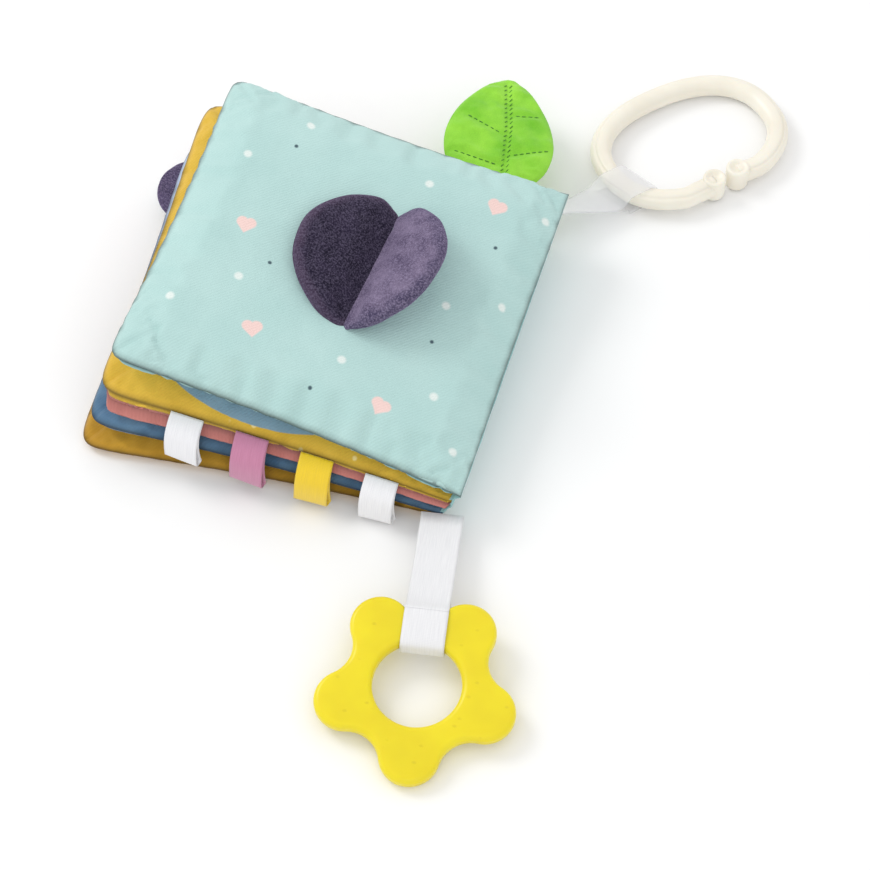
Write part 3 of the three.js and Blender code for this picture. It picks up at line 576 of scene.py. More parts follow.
def painted_light_corner(finish, lay, colour):
    """Painted light: a pale patch that fades in towards the fore-edge's top, where light falls on
    the leaf.
    """
    near = finish.ramp(finish.away(lay, -140, 118), 24.0, 54.0, 1.0, 0.0)
    return finish.mix(near, colour, srgb(172, 190, 217))


teal = cloth_base("teal_twill", (182, 214, 211), (175, 209, 206), cover_print)
teal_plain = cloth_base("teal_twill_plain", (158, 203, 203), (140, 190, 192))
mustard = cloth_base("mustard_cloth", (226, 187, 68), (213, 171, 54), dotted_page)
# Painted shade: the back leaf's mustard is painted darker than the second leaf's, to stand in for
# the shade it lies in
mustard_plain_shaded = cloth_base("mustard_cloth_plain_shaded", (203, 156, 46), (179, 133, 33))
pink = cloth_base("pink_cloth", (205, 131, 124), (192, 118, 111))
slate = cloth_base("slate_cloth", (100, 136, 164), (72, 108, 140), painted_light_corner)


def velour_finish(name, light, dark, rim=None, tip_share=0.6):
    """Brushed pile. lay is the distance from the border, where rim is painted: a highlight on the
    left heart half, shade on the right.
    """
    finish = Finish(name, 0.95, 0.55, 0.1, Sheen_Roughness=0.35, Sheen_Tint=srgb(176, 158, 196))
    where = finish.body()
    brushed = finish.noise(where, 130, 3.0, 0.6)
    pile = finish.noise(where, 1500, 2.0, 0.7)
    colour = finish.between(brushed, 0.34, 0.66, dark, light)
    # The rim colour is painted within about 4 mm of the border: a painted highlight on the left
    # heart half, painted shade on the right
    if rim:
        inward = finish.node("ShaderNodeSeparateXYZ", i0=finish.lay())
        wavy = finish.math("ADD", inward, finish.ramp(brushed, 0.3, 0.7, -1.2, 1.2))
        colour = finish.mix(finish.ramp(wavy, 0.8, 4.2, 0.6, 0.0), colour, srgb(*rim))
    tips = finish.mix(0.55, srgb(*light), srgb(176, 164, 196))
    finish.colour(finish.mix(finish.ramp(pile, 0.42, 0.66, 0.0, tip_share), colour, tips))
    finish.bump(brushed, 0.5, 0.5)
    finish.bump(pile, 0.5, 1.0)
    return finish.material


velour = velour_finish("velour", (84, 74, 104), (58, 50, 76))
# Painted light and shade: the heart's halves are one velour, the left painted darker with fewer
# light pile tips, the right painted lighter
velour_left = velour_finish("velour_left", (42, 36, 56), (24, 21, 38), (86, 70, 92), 0.34)
velour_right = velour_finish("velour_right", (122, 110, 136), (82, 72, 98), (50, 48, 78))


def plain_finish(finish, light, dark, cloud_size, fine_size, fleck, spread=0.3, dents=0.0):
    """Cloth in two close tones with fine flecks. dents is how deep its soft wrinkles are."""
    where = finish.body()
    cloud = finish.noise(where, *cloud_size)
    fine = finish.noise(where, fine_size, 1.0)
    colour = finish.between(cloud, spread, 1 - spread, light, dark)
    finish.colour(finish.shade(colour, finish.ramp(fine, 0.3, 0.7, 1 - fleck, 1 + fleck)))
    if dents:
        finish.bump(cloud, dents, 0.6)
    finish.bump(fine, 0.06, 0.8)
    return finish.material


green = plain_finish(
    Finish("green_cloth", 0.8, 0.2, 0.3), (150, 218, 62), (112, 190, 36),
    (60, 3.0), 2600, 0.06, 0.34, 0.7)
backing = plain_finish(
    Finish("ear_backing_cloth", 0.85, 0.2, 0.25), (196, 214, 228), (176, 196, 214),
    (90, 2.0), 2200, 0.05)


def thread_finish(name, light, dark):
    finish = Finish(name, 0.55, 0.2, 0.4)
    twist = finish.stripes(finish.body(), (5200, 3600, 2400))
    finish.colour(finish.between(twist, -1, 1, light, dark))
    finish.bump(twist, 0.08, 0.8)
    return finish.material


green_thread = thread_finish("green_thread", (76, 142, 32), (58, 116, 24))


def satin_finish(name, light, dark, alpha=None, rough=0.32):
    """Woven ribbon. alpha gives how solid the holes and the threads of a sheer one are."""
    finish = Finish(name, rough, 0.3, 0.6, Anisotropic=0.6)
    lay = finish.lay()
    ribs = finish.stripes(lay, (0, 2 * math.pi / 0.55, 0))
    long_threads = finish.noise(finish.stretched(lay, (3.2, 0.12, 1)), 1.0, 2.0)
    colour = finish.between(long_threads, 0.3, 0.7, light, dark)
    finish.colour(finish.shade(colour, finish.ramp(ribs, -1, 1, 0.985, 1.015)))
    finish.bump(long_threads, 0.05, 0.5)
    finish.bump(ribs, 0.03, 0.6)
    if alpha:
        net = finish.math("MAXIMUM", ribs, finish.stripes(lay, (2 * math.pi / 0.5, 0, 0)))
        finish.tree.links.new(finish.ramp(net, -0.6, 1, *alpha), finish.shader.inputs["Alpha"])
    return finish.material


white_satin = satin_finish("white_satin", (242, 242, 245), (232, 232, 236))
# Painted shade: the teether's ribbon is the same white satin as the tags, painted greyer
ribbon_satin_shaded = satin_finish("ribbon_satin_shaded", (236, 236, 238), (226, 226, 229))
mauve_satin = satin_finish("mauve_satin", (200, 130, 164), (190, 118, 152))
yellow_satin = satin_finish("yellow_satin", (244, 208, 0), (234, 198, 0))
sheer = satin_finish("sheer_ribbon", (250, 250, 252), (240, 240, 244), (0.14, 0.34), 0.45)


def moulded_finish(name, rough, light, dark, flow, grain_scale, pit_shade_colour=None, **sockets):
    """Plastic or silicone in two close tones, with small shallow pits where a pit colour is given,
    painted darker with it as painted shade.
    """
    finish = Finish(name, rough, 0.0, 0.5, **sockets)
    where = finish.body()
    colour = finish.between(finish.noise(where, *flow), 0.3, 0.7, light, dark)
    if pit_shade_colour:
        cells = finish.spots(finish.stretched(where, (1.0, 1.7, 1.0)), 150.0, 0.75)
        pits = finish.ramp(cells, 0.05, 0.17, 1.0, 0.0)
        # Painted shade: the pits are darkened towards the pit colour
        colour = finish.mix(finish.math("MULTIPLY", pits, 0.4), colour, srgb(*pit_shade_colour))
        finish.bump(pits, -0.18, 0.6)
    finish.colour(colour)
    finish.bump(finish.noise(where, grain_scale, 2.0), 0.02, 0.4)
    return finish.material


ivory = moulded_finish(
    "ivory_plastic", 0.3, (244, 240, 228), (236, 230, 215), (45, 3.0), 900,
    Subsurface_Weight=0.15, Subsurface_Radius=(0.004, 0.003, 0.002), Subsurface_Scale=0.6)
silicone = moulded_finish(
    "yellow_silicone", 0.34, (236, 219, 12), (228, 208, 10), (60, 2.0), 700, (206, 186, 10),
    Subsurface_Weight=0.35, Subsurface_Radius=(0.006, 0.005, 0.001), Subsurface_Scale=0.8)


def dress(piece, body, slot, *nodes, fill=None):
    """Gives a piece its body and the CAD nodes that it takes the place of. The slot is not used."""
    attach(piece, body)
    if nodes:
        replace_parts(piece, *nodes)


# Leaves: two cloths sewn together round their border, with wadding between them
GRID = 48
leaf_spread = np.linspace(-1, 1, GRID + 1)
leaf_spread = 0.42 * leaf_spread + 0.58 * np.sin(leaf_spread * math.pi / 2)
# How far lower cloths bulge out past their seams: the second leaf's, then the two in OVERHANGS
BELLY_OUT = 7.6
BELLY_RUN = 9.5
BELLY_FULL_GAP = 6.9
OVERHANGS = {1: 0.8, 3: 1.7}
OVERHANG_RUN = 8.0
ARCH_POWER = 0.6


def edge_distance(value):
    return (1 - abs(value)) * PAGE / 2


def arch(inward, run):
    """A bulge from 0 at the seam to 1 and back to 0 where the run ends."""
    return np.sin(math.pi * np.clip(inward / run, 0, 1) ** ARCH_POWER)


def belly(leaf, s, t, u, v, missing):
    """The second leaf's lower cloth sags out past its seam along the bottom edge."""
    inward = edge_distance(t)
    from_fore = edge_distance(s) * (s < 0) + PAGE / 2 * (s >= 0)
    room = np.clip(half_gap(1, u, v) / BELLY_FULL_GAP, 0, 1)
    share = smooth(from_fore / 5.5) * (0.35 + 0.65 * room) * (t < 0)
    out = BELLY_OUT * arch(inward, BELLY_RUN) * share
    down = missing * roll(inward, 2.6) * np.clip(1 - inward / 15, 0, 1) * share
    return -leaf.ahead * out[..., None] - leaf.normal * down[..., None]


def overhang(leaf, s, t):
    """A lower cloth bulges out past its seam at the fore-edge and the bottom edge."""
    out = -OVERHANGS[leaf.k]
    ahead = out * arch(edge_distance(t), OVERHANG_RUN) * (t < 0) * smooth(edge_distance(s) / 6)
    across = out * arch(edge_distance(s), OVERHANG_RUN) * (s < 0) * smooth(edge_distance(t) / 6)
    return leaf.ahead * ahead[..., None] + leaf.right * across[..., None]


def leaf_surfaces(leaf):
    """A leaf's upper and lower grids before it settles, and each point's place on the page."""
    k = leaf.k
    s, t = np.meshgrid(leaf_spread, leaf_spread, indexing="ij")
    u, v = leaf.shares(s, t)
    seam = leaf.plain(u, v)
    grids = []
    for face, sign in ((k, 1), (k - 1, -1)):
        full = LOW_CROWN if face == 0 else CROWN
        if 0 <= face < 3:
            full = np.minimum(full, half_gap(face, u, v) - SEAM_HALF - LEAF_CLEAR / 2)
        shape = roll(edge_distance(s), EDGE_ROLL) * roll(edge_distance(t), EDGE_ROLL)
        height = full * shape
        if sign < 0 and k == 0:
            height = np.minimum(height, BACK_DEPTH)
        place = seam + leaf.normal * (sign * height)[..., None]
        if sign < 0 and k == 2:
            place = place + belly(leaf, s, t, u, v, full - height)
        elif sign < 0 and k > 0:
            place = place + overhang(leaf, s, t)
        grids.append(place)
    lay = np.stack([-u * PAGE, v * PAGE, np.zeros_like(u)], -1)
    return grids[0], grids[1], lay, (s, t, u, v)


# How firmly the settling holds a point: in the seam, beside it, and from that far in on
HELD_SEAM = 0.96
HELD_NEAR = 0.3
HELD_FAR = 0.06
HELD_RUN = 30
SURFACE_GRAIN = 0.25
MOST_SETTLED = 3.2
PUCKER = 0.34
PUCKER_REACH = 4.4
PUCKER_BELOW = 0.8
FACE_CLEAR = 0.12
TABLE_CLEAR = 0.05
SEAM_TUCK = 0.16
SHELL_SHARE = 0.06
SEAM_SHADE_REACH = 0.7


def make_leaf(leaf, upper, lower, upper_slot, lower_slot, growth=0.02, pressure=1.5):
    """A settled leaf as two padded halves that meet in its seam."""
    k = leaf.k
    top, bottom, lay, shares = leaf_surfaces(leaf)
    s, t = shares[:2]
    inside = (roll(edge_distance(s), 4) * roll(edge_distance(t), 4))[..., None]
    border = np.minimum(edge_distance(s), edge_distance(t))
    pinned = np.where(border < 0.1, HELD_SEAM, lerp(HELD_NEAR, HELD_FAR, smooth(border / HELD_RUN)))
    start_top, start_bottom = (
        grid + leaf.normal * (bumps(grid, 9.0, seed + k)[..., None] * SURFACE_GRAIN) * inside
        for grid, seed in ((top, 3.1), (bottom, 7.7)))
    top, bottom = settle(start_top, start_bottom, pinned, pressure, growth)
    top, bottom = capped(top, start_top, MOST_SETTLED), capped(bottom, start_bottom, MOST_SETTLED)
    top, bottom, lay = (finer(grid) for grid in (top, bottom, lay))
    s, t, u, v = (finer_values(values) for values in shares)
    flat = leaf.plain(u, v)
    # Stitches draw the cloth in, so small puckers run in from the seams
    along = np.where(abs(s) > abs(t), lay[..., 1], lay[..., 0])
    border = np.minimum(edge_distance(s), edge_distance(t))
    near = np.exp(-border / PUCKER_REACH)
    uneven = 0.55 + 0.45 * np.sin(along * 0.083 + 2.6 * k) * np.sin(along * 0.19 + k)
    folds = np.sin(along * 1.3 + 3.1 * np.sin(along * 0.17 + k))
    puckers = folds * near * roll(border, 1.5) * PUCKER * uneven
    top = top + leaf.normal * puckers[..., None]
    bottom = bottom - leaf.normal * (puckers * PUCKER_BELOW)[..., None]
    # The faces keep to their side of the gap to the next leaf
    high = (top - flat) @ leaf.normal
    low = (flat - bottom) @ leaf.normal
    if k < 3:
        past = np.maximum(0, high - half_gap(k, u, v) + FACE_CLEAR)
        top = top - leaf.normal * past[..., None]
    if k > 0:
        past = np.maximum(0, low - half_gap(k - 1, u, v) + FACE_CLEAR)
        bottom = bottom + leaf.normal * past[..., None]
    else:
        bottom[..., 2] = np.maximum(bottom[..., 2], TABLE_CLEAR)
    rim = (border < 0.05)[..., None]
    seam = (top + bottom) / 2
    # The cloth turns in a little at the seam, and its colour is painted darker there as painted
    # shade
    for label, face, side, material, slot, nodes in (
        ("upper", top, 1, upper, upper_slot, ("upper_cloth", "crinkle_film")),
        ("lower", bottom, -1, lower, lower_slot, ("lower_cloth", "wadding")),
    ):
        tuck = side * SEAM_TUCK * leaf.normal
        face = np.where(rim, seam, face)
        inner = np.where(rim, seam + tuck, lerp(seam, face, SHELL_SHARE) + tuck)
        shell = np.where(rim, seam + 2 * tuck, face)
        shade = np.exp(-border / SEAM_SHADE_REACH)
        piece = make_slab(f"{leaf.name}_{label}", shell, inner, lay, material, shade)
        nodes = (f"{leaf.name}_{node}" for node in nodes)
        dress(piece, f"{leaf.name}_body", slot, *nodes, fill=0.35)


make_leaf(back_leaf, mustard_plain_shaded, mustard_plain_shaded, "mustard_cloth", "mustard_cloth")
make_leaf(third_leaf, slate, slate, "slate_cloth", "slate_cloth")
make_leaf(second_leaf, mustard, pink, "mustard_cloth", "pink_cloth")
make_leaf(front_cover, teal, teal_plain, "teal_twill", "teal_twill", 0.03, 2.0)

# Spine: the teal cloth goes round the four seams, in three strips
SPINE_ROWS = 72
STRIP_STEPS = 13
STRIP_THICK = 0.6
STRIP_CLOTH = 10.0
SEWN_IN = 1.7
SPINE_INSET = 0.006


def make_spine_strip(k, label, bulge):
    """A strip sewn into the seams of leaf k and the next, its edges a little way into them."""
    pair = leaves[k:k + 2]
    v = np.linspace(SPINE_INSET, 1 - SPINE_INSET, SPINE_ROWS + 1)
    w = np.linspace(0, 1, STRIP_STEPS)
    low, high = (leaf.plain(np.zeros_like(v), v) for leaf in pair)
    ends = np.exp(-np.minimum(v, 1 - v) * PAGE / 4)[:, None]
    grid = lerp(low[:, None], high[:, None], w[None, :, None])
    gather = np.sin(w * math.pi * 4 + 0.7)[None] * ends * 0.5
    slack = bumps(grid, 14.0, 5.5) * 0.4 + bumps(grid, 5.0, 9.5) * 0.15
    out = 0.15 + (bulge * (1 - 0.6 * ends) + slack + gather) * np.sin(w * math.pi)[None]
    grid = grid + EAST * out[..., None]
    grid = np.concatenate([grid[:, :1] - EAST * SEWN_IN, grid, grid[:, -1:] - EAST * SEWN_IN], 1)
    inward = np.concatenate([[UP], [UP - EAST], [-EAST] * (STRIP_STEPS - 2), [-UP - EAST], [-UP]])
    around = np.linspace(-SEWN_IN, STRIP_CLOTH + SEWN_IN, STRIP_STEPS + 2)
    around, along = np.meshgrid(around, v * PAGE)
    lay = np.stack([along, around, np.zeros_like(along)], -1)
    inside = grid + unit(inward) * STRIP_THICK
    piece = make_slab(f"spine_strip_{label}", grid, inside, lay, teal_plain)
    middles = (tuple(world(leaf.plain(0, 0.5))) for leaf in pair)
    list(middles)
    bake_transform(piece)
    return piece


make_spine_strip(0, "low", 2.2)
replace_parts(make_spine_strip(1, "middle", 2.0), "spine_cover")
make_spine_strip(2, "high", 1.2)


# Flaps: a heart in two halves, a leaf and an ear, each of two cloths sewn round their border


def eased(count):
    return (1 - np.cos(np.linspace(0, math.pi, count + 1))) / 2


def mixed(count):
    """Steps from 0 to 1 that are closer together towards both ends."""
    return 0.5 * eased(count) + 0.5 * np.linspace(0, 1, count + 1)


def from_ends(share):
    return np.minimum(share, 1 - share)


def outline_points(half_shares, half_width, up_shares, length):
    return np.stack([np.array(half_shares) * half_width, np.array(up_shares) * length], 1)


def flap(outline, across, along):
    """Shares across and along a flap that is alike on both sides, and its flat points."""
    s, t = np.meshgrid(mixed(across), mixed(along), indexing="ij")
    edge = through(outline, t)
    x = edge[..., 0] * (2 * s - 1)
    return s, t, np.stack([x, edge[..., 1], np.zeros_like(x)], -1)


def lifted(flat, height):
    """The flat points raised by a height at each."""
    return flat + UP * height[..., None]


HEART_LENGTH = 56.0
HEART_HALF_WIDTH = 31.5
HEART_LIFTS = {-1: 12.0, 1: 43.0}
HEART_THICK = 8.0
HEART_SEAM = 2.6
HEART_SWELL_RUN = 13.0
HEART_ROLL = 11.0
HEART_SWELL = 1.12
HEART_PRESS = 0.5
HEART_PRESS_RUN = 1.6
HEART_FROM_SPINE = 62.9
HEART_FROM_BOTTOM = 43.4
HEART_LEAN = -3.5
heart_out = (0.04, 0.32, 0.62, 0.82, 0.95, 1, 0.93, 0.75, 0.54, 0.26, 0.04)
heart_up = (-0.01, 0.02, 0.12, 0.23, 0.36, 0.57, 0.73, 0.88, 0.98, 1.05, 1.01)


def make_heart_half(side, label, material):
    outline = outline_points(heart_out, HEART_HALF_WIDTH * side, heart_up, HEART_LENGTH)
    s, t = np.meshgrid(mixed(30), mixed(40), indexing="ij")
    edge = through(outline, t)
    width, ends = abs(edge[..., 0]), from_ends(t) * HEART_LENGTH
    x = edge[..., 0] * s
    # The two halves press against each other along their seam
    x = x - side * HEART_PRESS * np.exp(-abs(x) / HEART_PRESS_RUN)
    flat = np.stack([x, lerp(HEART_LENGTH * t, edge[..., 1], s), np.zeros_like(x)], -1)
    from_seam, from_rim = s * width, (1 - s) * width
    fall = smooth(from_seam / HEART_SWELL_RUN) * roll(from_rim, HEART_ROLL) * roll(ends, HEART_ROLL)
    rim = np.minimum(1, roll(from_seam + 1.2, 2)) * roll(from_rim, 3) * roll(ends, 3)
    height = HEART_SEAM / 2 * rim + (HEART_THICK - HEART_SEAM) / 2 * fall * HEART_SWELL
    high, low = lifted(flat, height), lifted(flat, -height)
    grain = bumps(high, 7.0, 11.0 + side) * 0.55 + bumps(high, 2.6, 15.0 + side) * 0.16
    grain = grain * (roll(from_ends(s) * 25, 6) * roll(from_ends(t) * 50, 6))
    high, low = (
        finer(lifted(face, share * grain - HEART_SEAM / 2))
        for face, share in ((high, 1), (low, -0.6)))
    raise_to = SEAM_HALF + CROWN + HEART_SEAM * math.cos(math.radians(HEART_LIFTS[-1])) + SEAT_GAP
    seat = front_cover.place(HEART_FROM_SPINE, HEART_FROM_BOTTOM, raise_to).turned("z", HEART_LEAN)
    seat = seat.moved(side * SEAT_GAP / 2, 0, 0).turned("y", -side * HEART_LIFTS[side])
    s, t = finer_values(s), finer_values(t)
    width = abs(through(outline, t)[..., 0])
    border = np.minimum((1 - s) * width, from_ends(t) * HEART_LENGTH)
    lay = np.stack([border, s * width, HEART_LENGTH * t], -1)
    name = f"heart_{label}"
    piece = make_slab(name, seat.at(high), seat.at(low), lay, material)
    nodes = (f"{name}_{node}" for node in ("velour", "back_cloth", "filling"))
    dress(piece, f"{name}_body", "velour", *nodes, fill=0.6)


make_heart_half(-1, "left", velour_left)
make_heart_half(1, "right", velour_right)

SPRIG_LENGTH = 60.0
SPRIG_HALF_WIDTH = 22.0
SPRIG_CROWN = 1.6
SPRIG_ROLL = 8.0
SPRIG_RIM = 0.12
SPRIG_FILM = 0.35
GROOVE = 0.85
GROOVE_RUN = 1.5
SPRIG_FROM_SPINE = 25.0
SPRIG_LEAN = 7.7
SPRIG_DROOP = 7.0
sprig_half = (0.3, 0.64, 0.86, 0.98, 1, 0.88, 0.66, 0.38, 0.05)
sprig_up = (0, 0.06, 0.15, 0.28, 0.44, 0.62, 0.78, 0.92, 1)
# Sewn veins, each from and to a place in the green leaf's own millimetres. The first two are double
VEINS = (
    ((4.2, 5), (2.6, 31)), ((2.6, 31), (-0.9, 57)), ((2.2, 38.3), (15.3, 41.4)),
    ((4.3, 16.2), (20.6, 23.6)), ((1.5, 27), (-16.7, 35.2)), ((2.4, 10.4), (-17.7, 14.5)))
DOUBLE_VEINS = 2
DOUBLE_APART = 1.05
STITCH_PITCH = 2.6
STITCH_LENGTH = 1.75
STITCH_RISE = 0.28
STITCH_SIDES = 6
STITCH_PROFILE = ((0, 0.35), (0.2, 0.9), (0.5, 1), (0.8, 0.9), (1, 0.35))


def edge_draw(from_spine):
    """How far the leaf's bottom or top edge is drawn in at a distance from the spine."""
    from_middle = 1 - 2 * from_spine / PAGE
    return DRAW_IN * (1 - from_middle**2)


def vein_distance(x, y):
    nearest = np.full(x.shape, 99.0)
    for (ax, ay), (bx, by) in VEINS:
        dx, dy = bx - ax, by - ay
        f = np.clip(((x - ax) * dx + (y - ay) * dy) / (dx * dx + dy * dy), 0, 1)
        nearest = np.minimum(nearest, np.hypot(x - ax - f * dx, y - ay - f * dy))
    return nearest


def sprig_height(x, y):
    """Height of the green leaf's upper face over its middle, at a place in its own millimetres."""
    up = np.clip(y / SPRIG_LENGTH, 0, 1)
    half = np.interp(up, sprig_up, sprig_half) * SPRIG_HALF_WIDTH
    edge = roll(np.maximum(0, half - abs(x)), SPRIG_ROLL) * roll(
        np.minimum(y + 2, SPRIG_LENGTH - y), SPRIG_ROLL)
    groove = np.exp(-((vein_distance(x, y) / GROOVE_RUN) ** 2))
    return SPRIG_FILM + SPRIG_CROWN * edge - GROOVE * groove * np.minimum(1, edge)


def sprig_sway(x, y):
    """How far the whole green leaf is bent up or down there."""
    return 0.8 * np.sin(y / 13 + x / 17) * np.clip(y / 30, 0, 1)


def ring_faces(rings, sides, first=0, closed=False):
    """Faces between neighbouring rings of points, each with that many sides."""
    faces = []
    for i in range(rings if closed else rings - 1):
        a, b = first + i * sides, first + (i + 1) % rings * sides
        for n in range(sides):
            m = (n + 1) % sides
            faces.append([a + n, a + m, b + m, b + n])
    return faces


def stitch(a, b, width):
    """Points of one stitch of thread that lies on the green leaf from a to b."""
    along = unit(b - a)
    side = np.array((-along[1], along[0]))
    points = []
    for f, scale in STITCH_PROFILE:
        centre = lerp(a, b, f)
        base = sprig_height(*centre) + sprig_sway(*centre) + 0.12
        for angle in np.linspace(0, 2 * math.pi, STITCH_SIDES, endpoint=False):
            offset = side * math.cos(angle) * width / 2 * scale
            points.append((*(centre + offset), base + math.sin(angle) * STITCH_RISE * scale))
    return points


def sprig_stitches():
    stitches = []
    for number, ends in enumerate(VEINS):
        a, b = np.array(ends, float)
        length = math.hypot(*(b - a))
        along = (b - a) / length
        double = number < DOUBLE_VEINS
        start = 0 if double else 2.5
        for n in range(int(length / STITCH_PITCH)):
            f = start + n * STITCH_PITCH
            if f + STITCH_LENGTH > length - 0.5:
                break
            if double:
                for side in (-DOUBLE_APART, DOUBLE_APART):
                    centre = a + along * f + (side, 0)
                    stitches.append(stitch(centre - (0.45, 0), centre + (0.45, 1.5), 0.42))
            else:
                stitches.append(stitch(a + along * f, a + along * (f + STITCH_LENGTH), 0.5))
    return stitches


def make_sprig():
    lean = math.sin(math.radians(SPRIG_LEAN))
    seam = SEAT_GAP + sprig_half[0] * SPRIG_HALF_WIDTH * lean - edge_draw(SPRIG_FROM_SPINE)
    seat = second_leaf.place(SPRIG_FROM_SPINE, PAGE, 0).moved(0, seam, 0)
    seat = seat.turned("z", SPRIG_LEAN).turned("x", -SPRIG_DROOP)
    s, t, flat = flap(outline_points(sprig_half, SPRIG_HALF_WIDTH, sprig_up, SPRIG_LENGTH), 64, 84)
    x, y = flat[..., 0], flat[..., 1]
    border = np.minimum(from_ends(s) * 40, from_ends(t) * 60)
    high = sprig_height(x, y) * roll(border, 2.0)
    wrinkle = bumps(flat * np.array((0.6, 1, 1)), 6.0, 21.0) * 0.75 + bumps(flat, 3.0, 23.0) * 0.25
    wrinkle *= roll(border, 7) * np.clip(vein_distance(x, y) / 3, 0.15, 1)
    sway = sprig_sway(x, y)
    rim = border < 1e-6
    upper = lifted(flat, np.where(rim, sway + SPRIG_RIM, high + wrinkle + sway))
    lower = lifted(flat, np.where(rim, sway - SPRIG_RIM, sway - high * 0.9 + wrinkle * 0.5))
    piece = make_slab("green_leaf", seat.at(upper), seat.at(lower), None, green)
    dress(
        piece, "green_leaf_body", "green_cloth",
        "green_leaf_front", "green_leaf_back", "green_leaf_crinkle_film", fill=0.25)
    faces = []
    stitches = sprig_stitches()
    rings = len(STITCH_PROFILE)
    for number in range(len(stitches)):
        first = number * rings * STITCH_SIDES
        last = first + (rings - 1) * STITCH_SIDES
        faces += ring_faces(rings, STITCH_SIDES, first)
        faces.append([first + n for n in reversed(range(STITCH_SIDES))])
        faces.append([last + n for n in range(STITCH_SIDES)])
    points = seat.at(np.concatenate(stitches))
    piece = make_object("green_leaf_stitches", points, faces, None, green_thread)
    dress(piece, "green_leaf_body", "green_cloth")


make_sprig()

EAR_LENGTH = 26.0
EAR_HALF_WIDTH = 17.0
EAR_OVERHANG = 2.2
EAR_FROM_TOP = 15.0
EAR_RISE = 1.2
EAR_RIM = 0.2
ear_half = (0.98, 1, 1, 0.97, 0.885, 0.72, 0.53, 0.3, 0.04)
ear_up = (0, 0.2, 0.35, 0.5, 0.65, 0.8, 0.9, 0.97, 1)


def make_ear():
    s, t, flat = flap(outline_points(ear_half, EAR_HALF_WIDTH, ear_up, EAR_LENGTH), 32, 30)
    border = np.minimum(from_ends(s) * 30, from_ends(t) * 26)
    high = 0.25 + 1.0 * roll(border, 4)
    grain = bumps(flat, 4.0, 31.0) * 0.25 * roll(border, 4)
    rim = border < 1e-6
    upper = lifted(flat, np.where(rim, EAR_RIM, high + grain))
    lower = lifted(flat, np.where(rim, -EAR_RIM, -high * 0.9))
    from_spine = PAGE + EAR_OVERHANG - EAR_LENGTH
    raise_to = SEAM_HALF + LOW_CROWN + SEAT_GAP + EAR_RISE
    seat = back_leaf.place(from_spine, PAGE - EAR_FROM_TOP, raise_to).turned("z", 90)
    middle = (upper + lower) / 2
    for label, face, inner, material, node, slot in (
        ("ear_velour_face", upper, middle + 0.05 * UP, velour, "ear_velour", "velour"),
        ("ear_back_face", middle - 0.05 * UP, lower, backing, "ear_backing", "ear_backing_cloth"),
    ):
        piece = make_slab(label, seat.at(face), seat.at(inner), None, material)
        dress(piece, "back_leaf_body", slot, node, fill=0.3)


make_ear()

# Ribbons
RIBBON_COLUMNS = 15


def make_ribbon(name, path, sideways, widths, thick, material, slot, edge):
    """A woven band along a path of points, and its length. sideways is where its width goes."""
    normal = unit(np.cross(np.gradient(path, axis=0), sideways))
    across = np.linspace(-1, 1, RIBBON_COLUMNS)
    centre = path[:, None] + sideways[:, None] * (across[None, :, None] * widths[:, None, None] / 2)
    rim = (1 - 0.35 * roll((1 - abs(across)), 0.12))[None, :, None]
    half = normal[:, None] * (thick / 2) * (0.75 + edge * rim)
    steps = np.concatenate([[0], np.cumsum(np.linalg.norm(np.diff(path, axis=0), axis=1))])
    from_middle, along = np.meshgrid(across * np.mean(widths) / 2, steps)
    lay = np.stack([from_middle, along, np.zeros_like(along)], -1)
    piece = make_slab(name, centre + half, centre - half, lay, material)
    return piece, steps[-1]


TAG_WIDTH = 12.8
TAG_THICK = 0.55
TAG_PITCH = 25.4
TAG_FIRST = 27.0
TAG_OUTS = (10.46, 11.15, 11.5, 10.92)
TAG_DROPS = (13.33, 15.5, 15.5, 14.57)
TAG_FIT = 0.93
# Half the way between a tag's two legs at the seam, and how much more it is at the foot
TAG_OPEN = 0.55
TAG_OPENS_BY = 0.75
TAG_FOOT = 1.1
TAG_SWAY = 2.6
TAG_BACK_SWAY = 0.9
TAG_SATINS = (
    (white_satin, "white_satin"), (yellow_satin, "yellow_satin"),
    (mauve_satin, "mauve_satin"), (white_satin, "white_satin"))


def bezier(a, b, c, d, t):
    a, b, c, d = (np.asarray(p, float) for p in (a, b, c, d))
    t = t[:, None]
    return a * (1 - t) ** 3 + 3 * b * t * (1 - t) ** 2 + 3 * c * t * t * (1 - t) + d * t**3


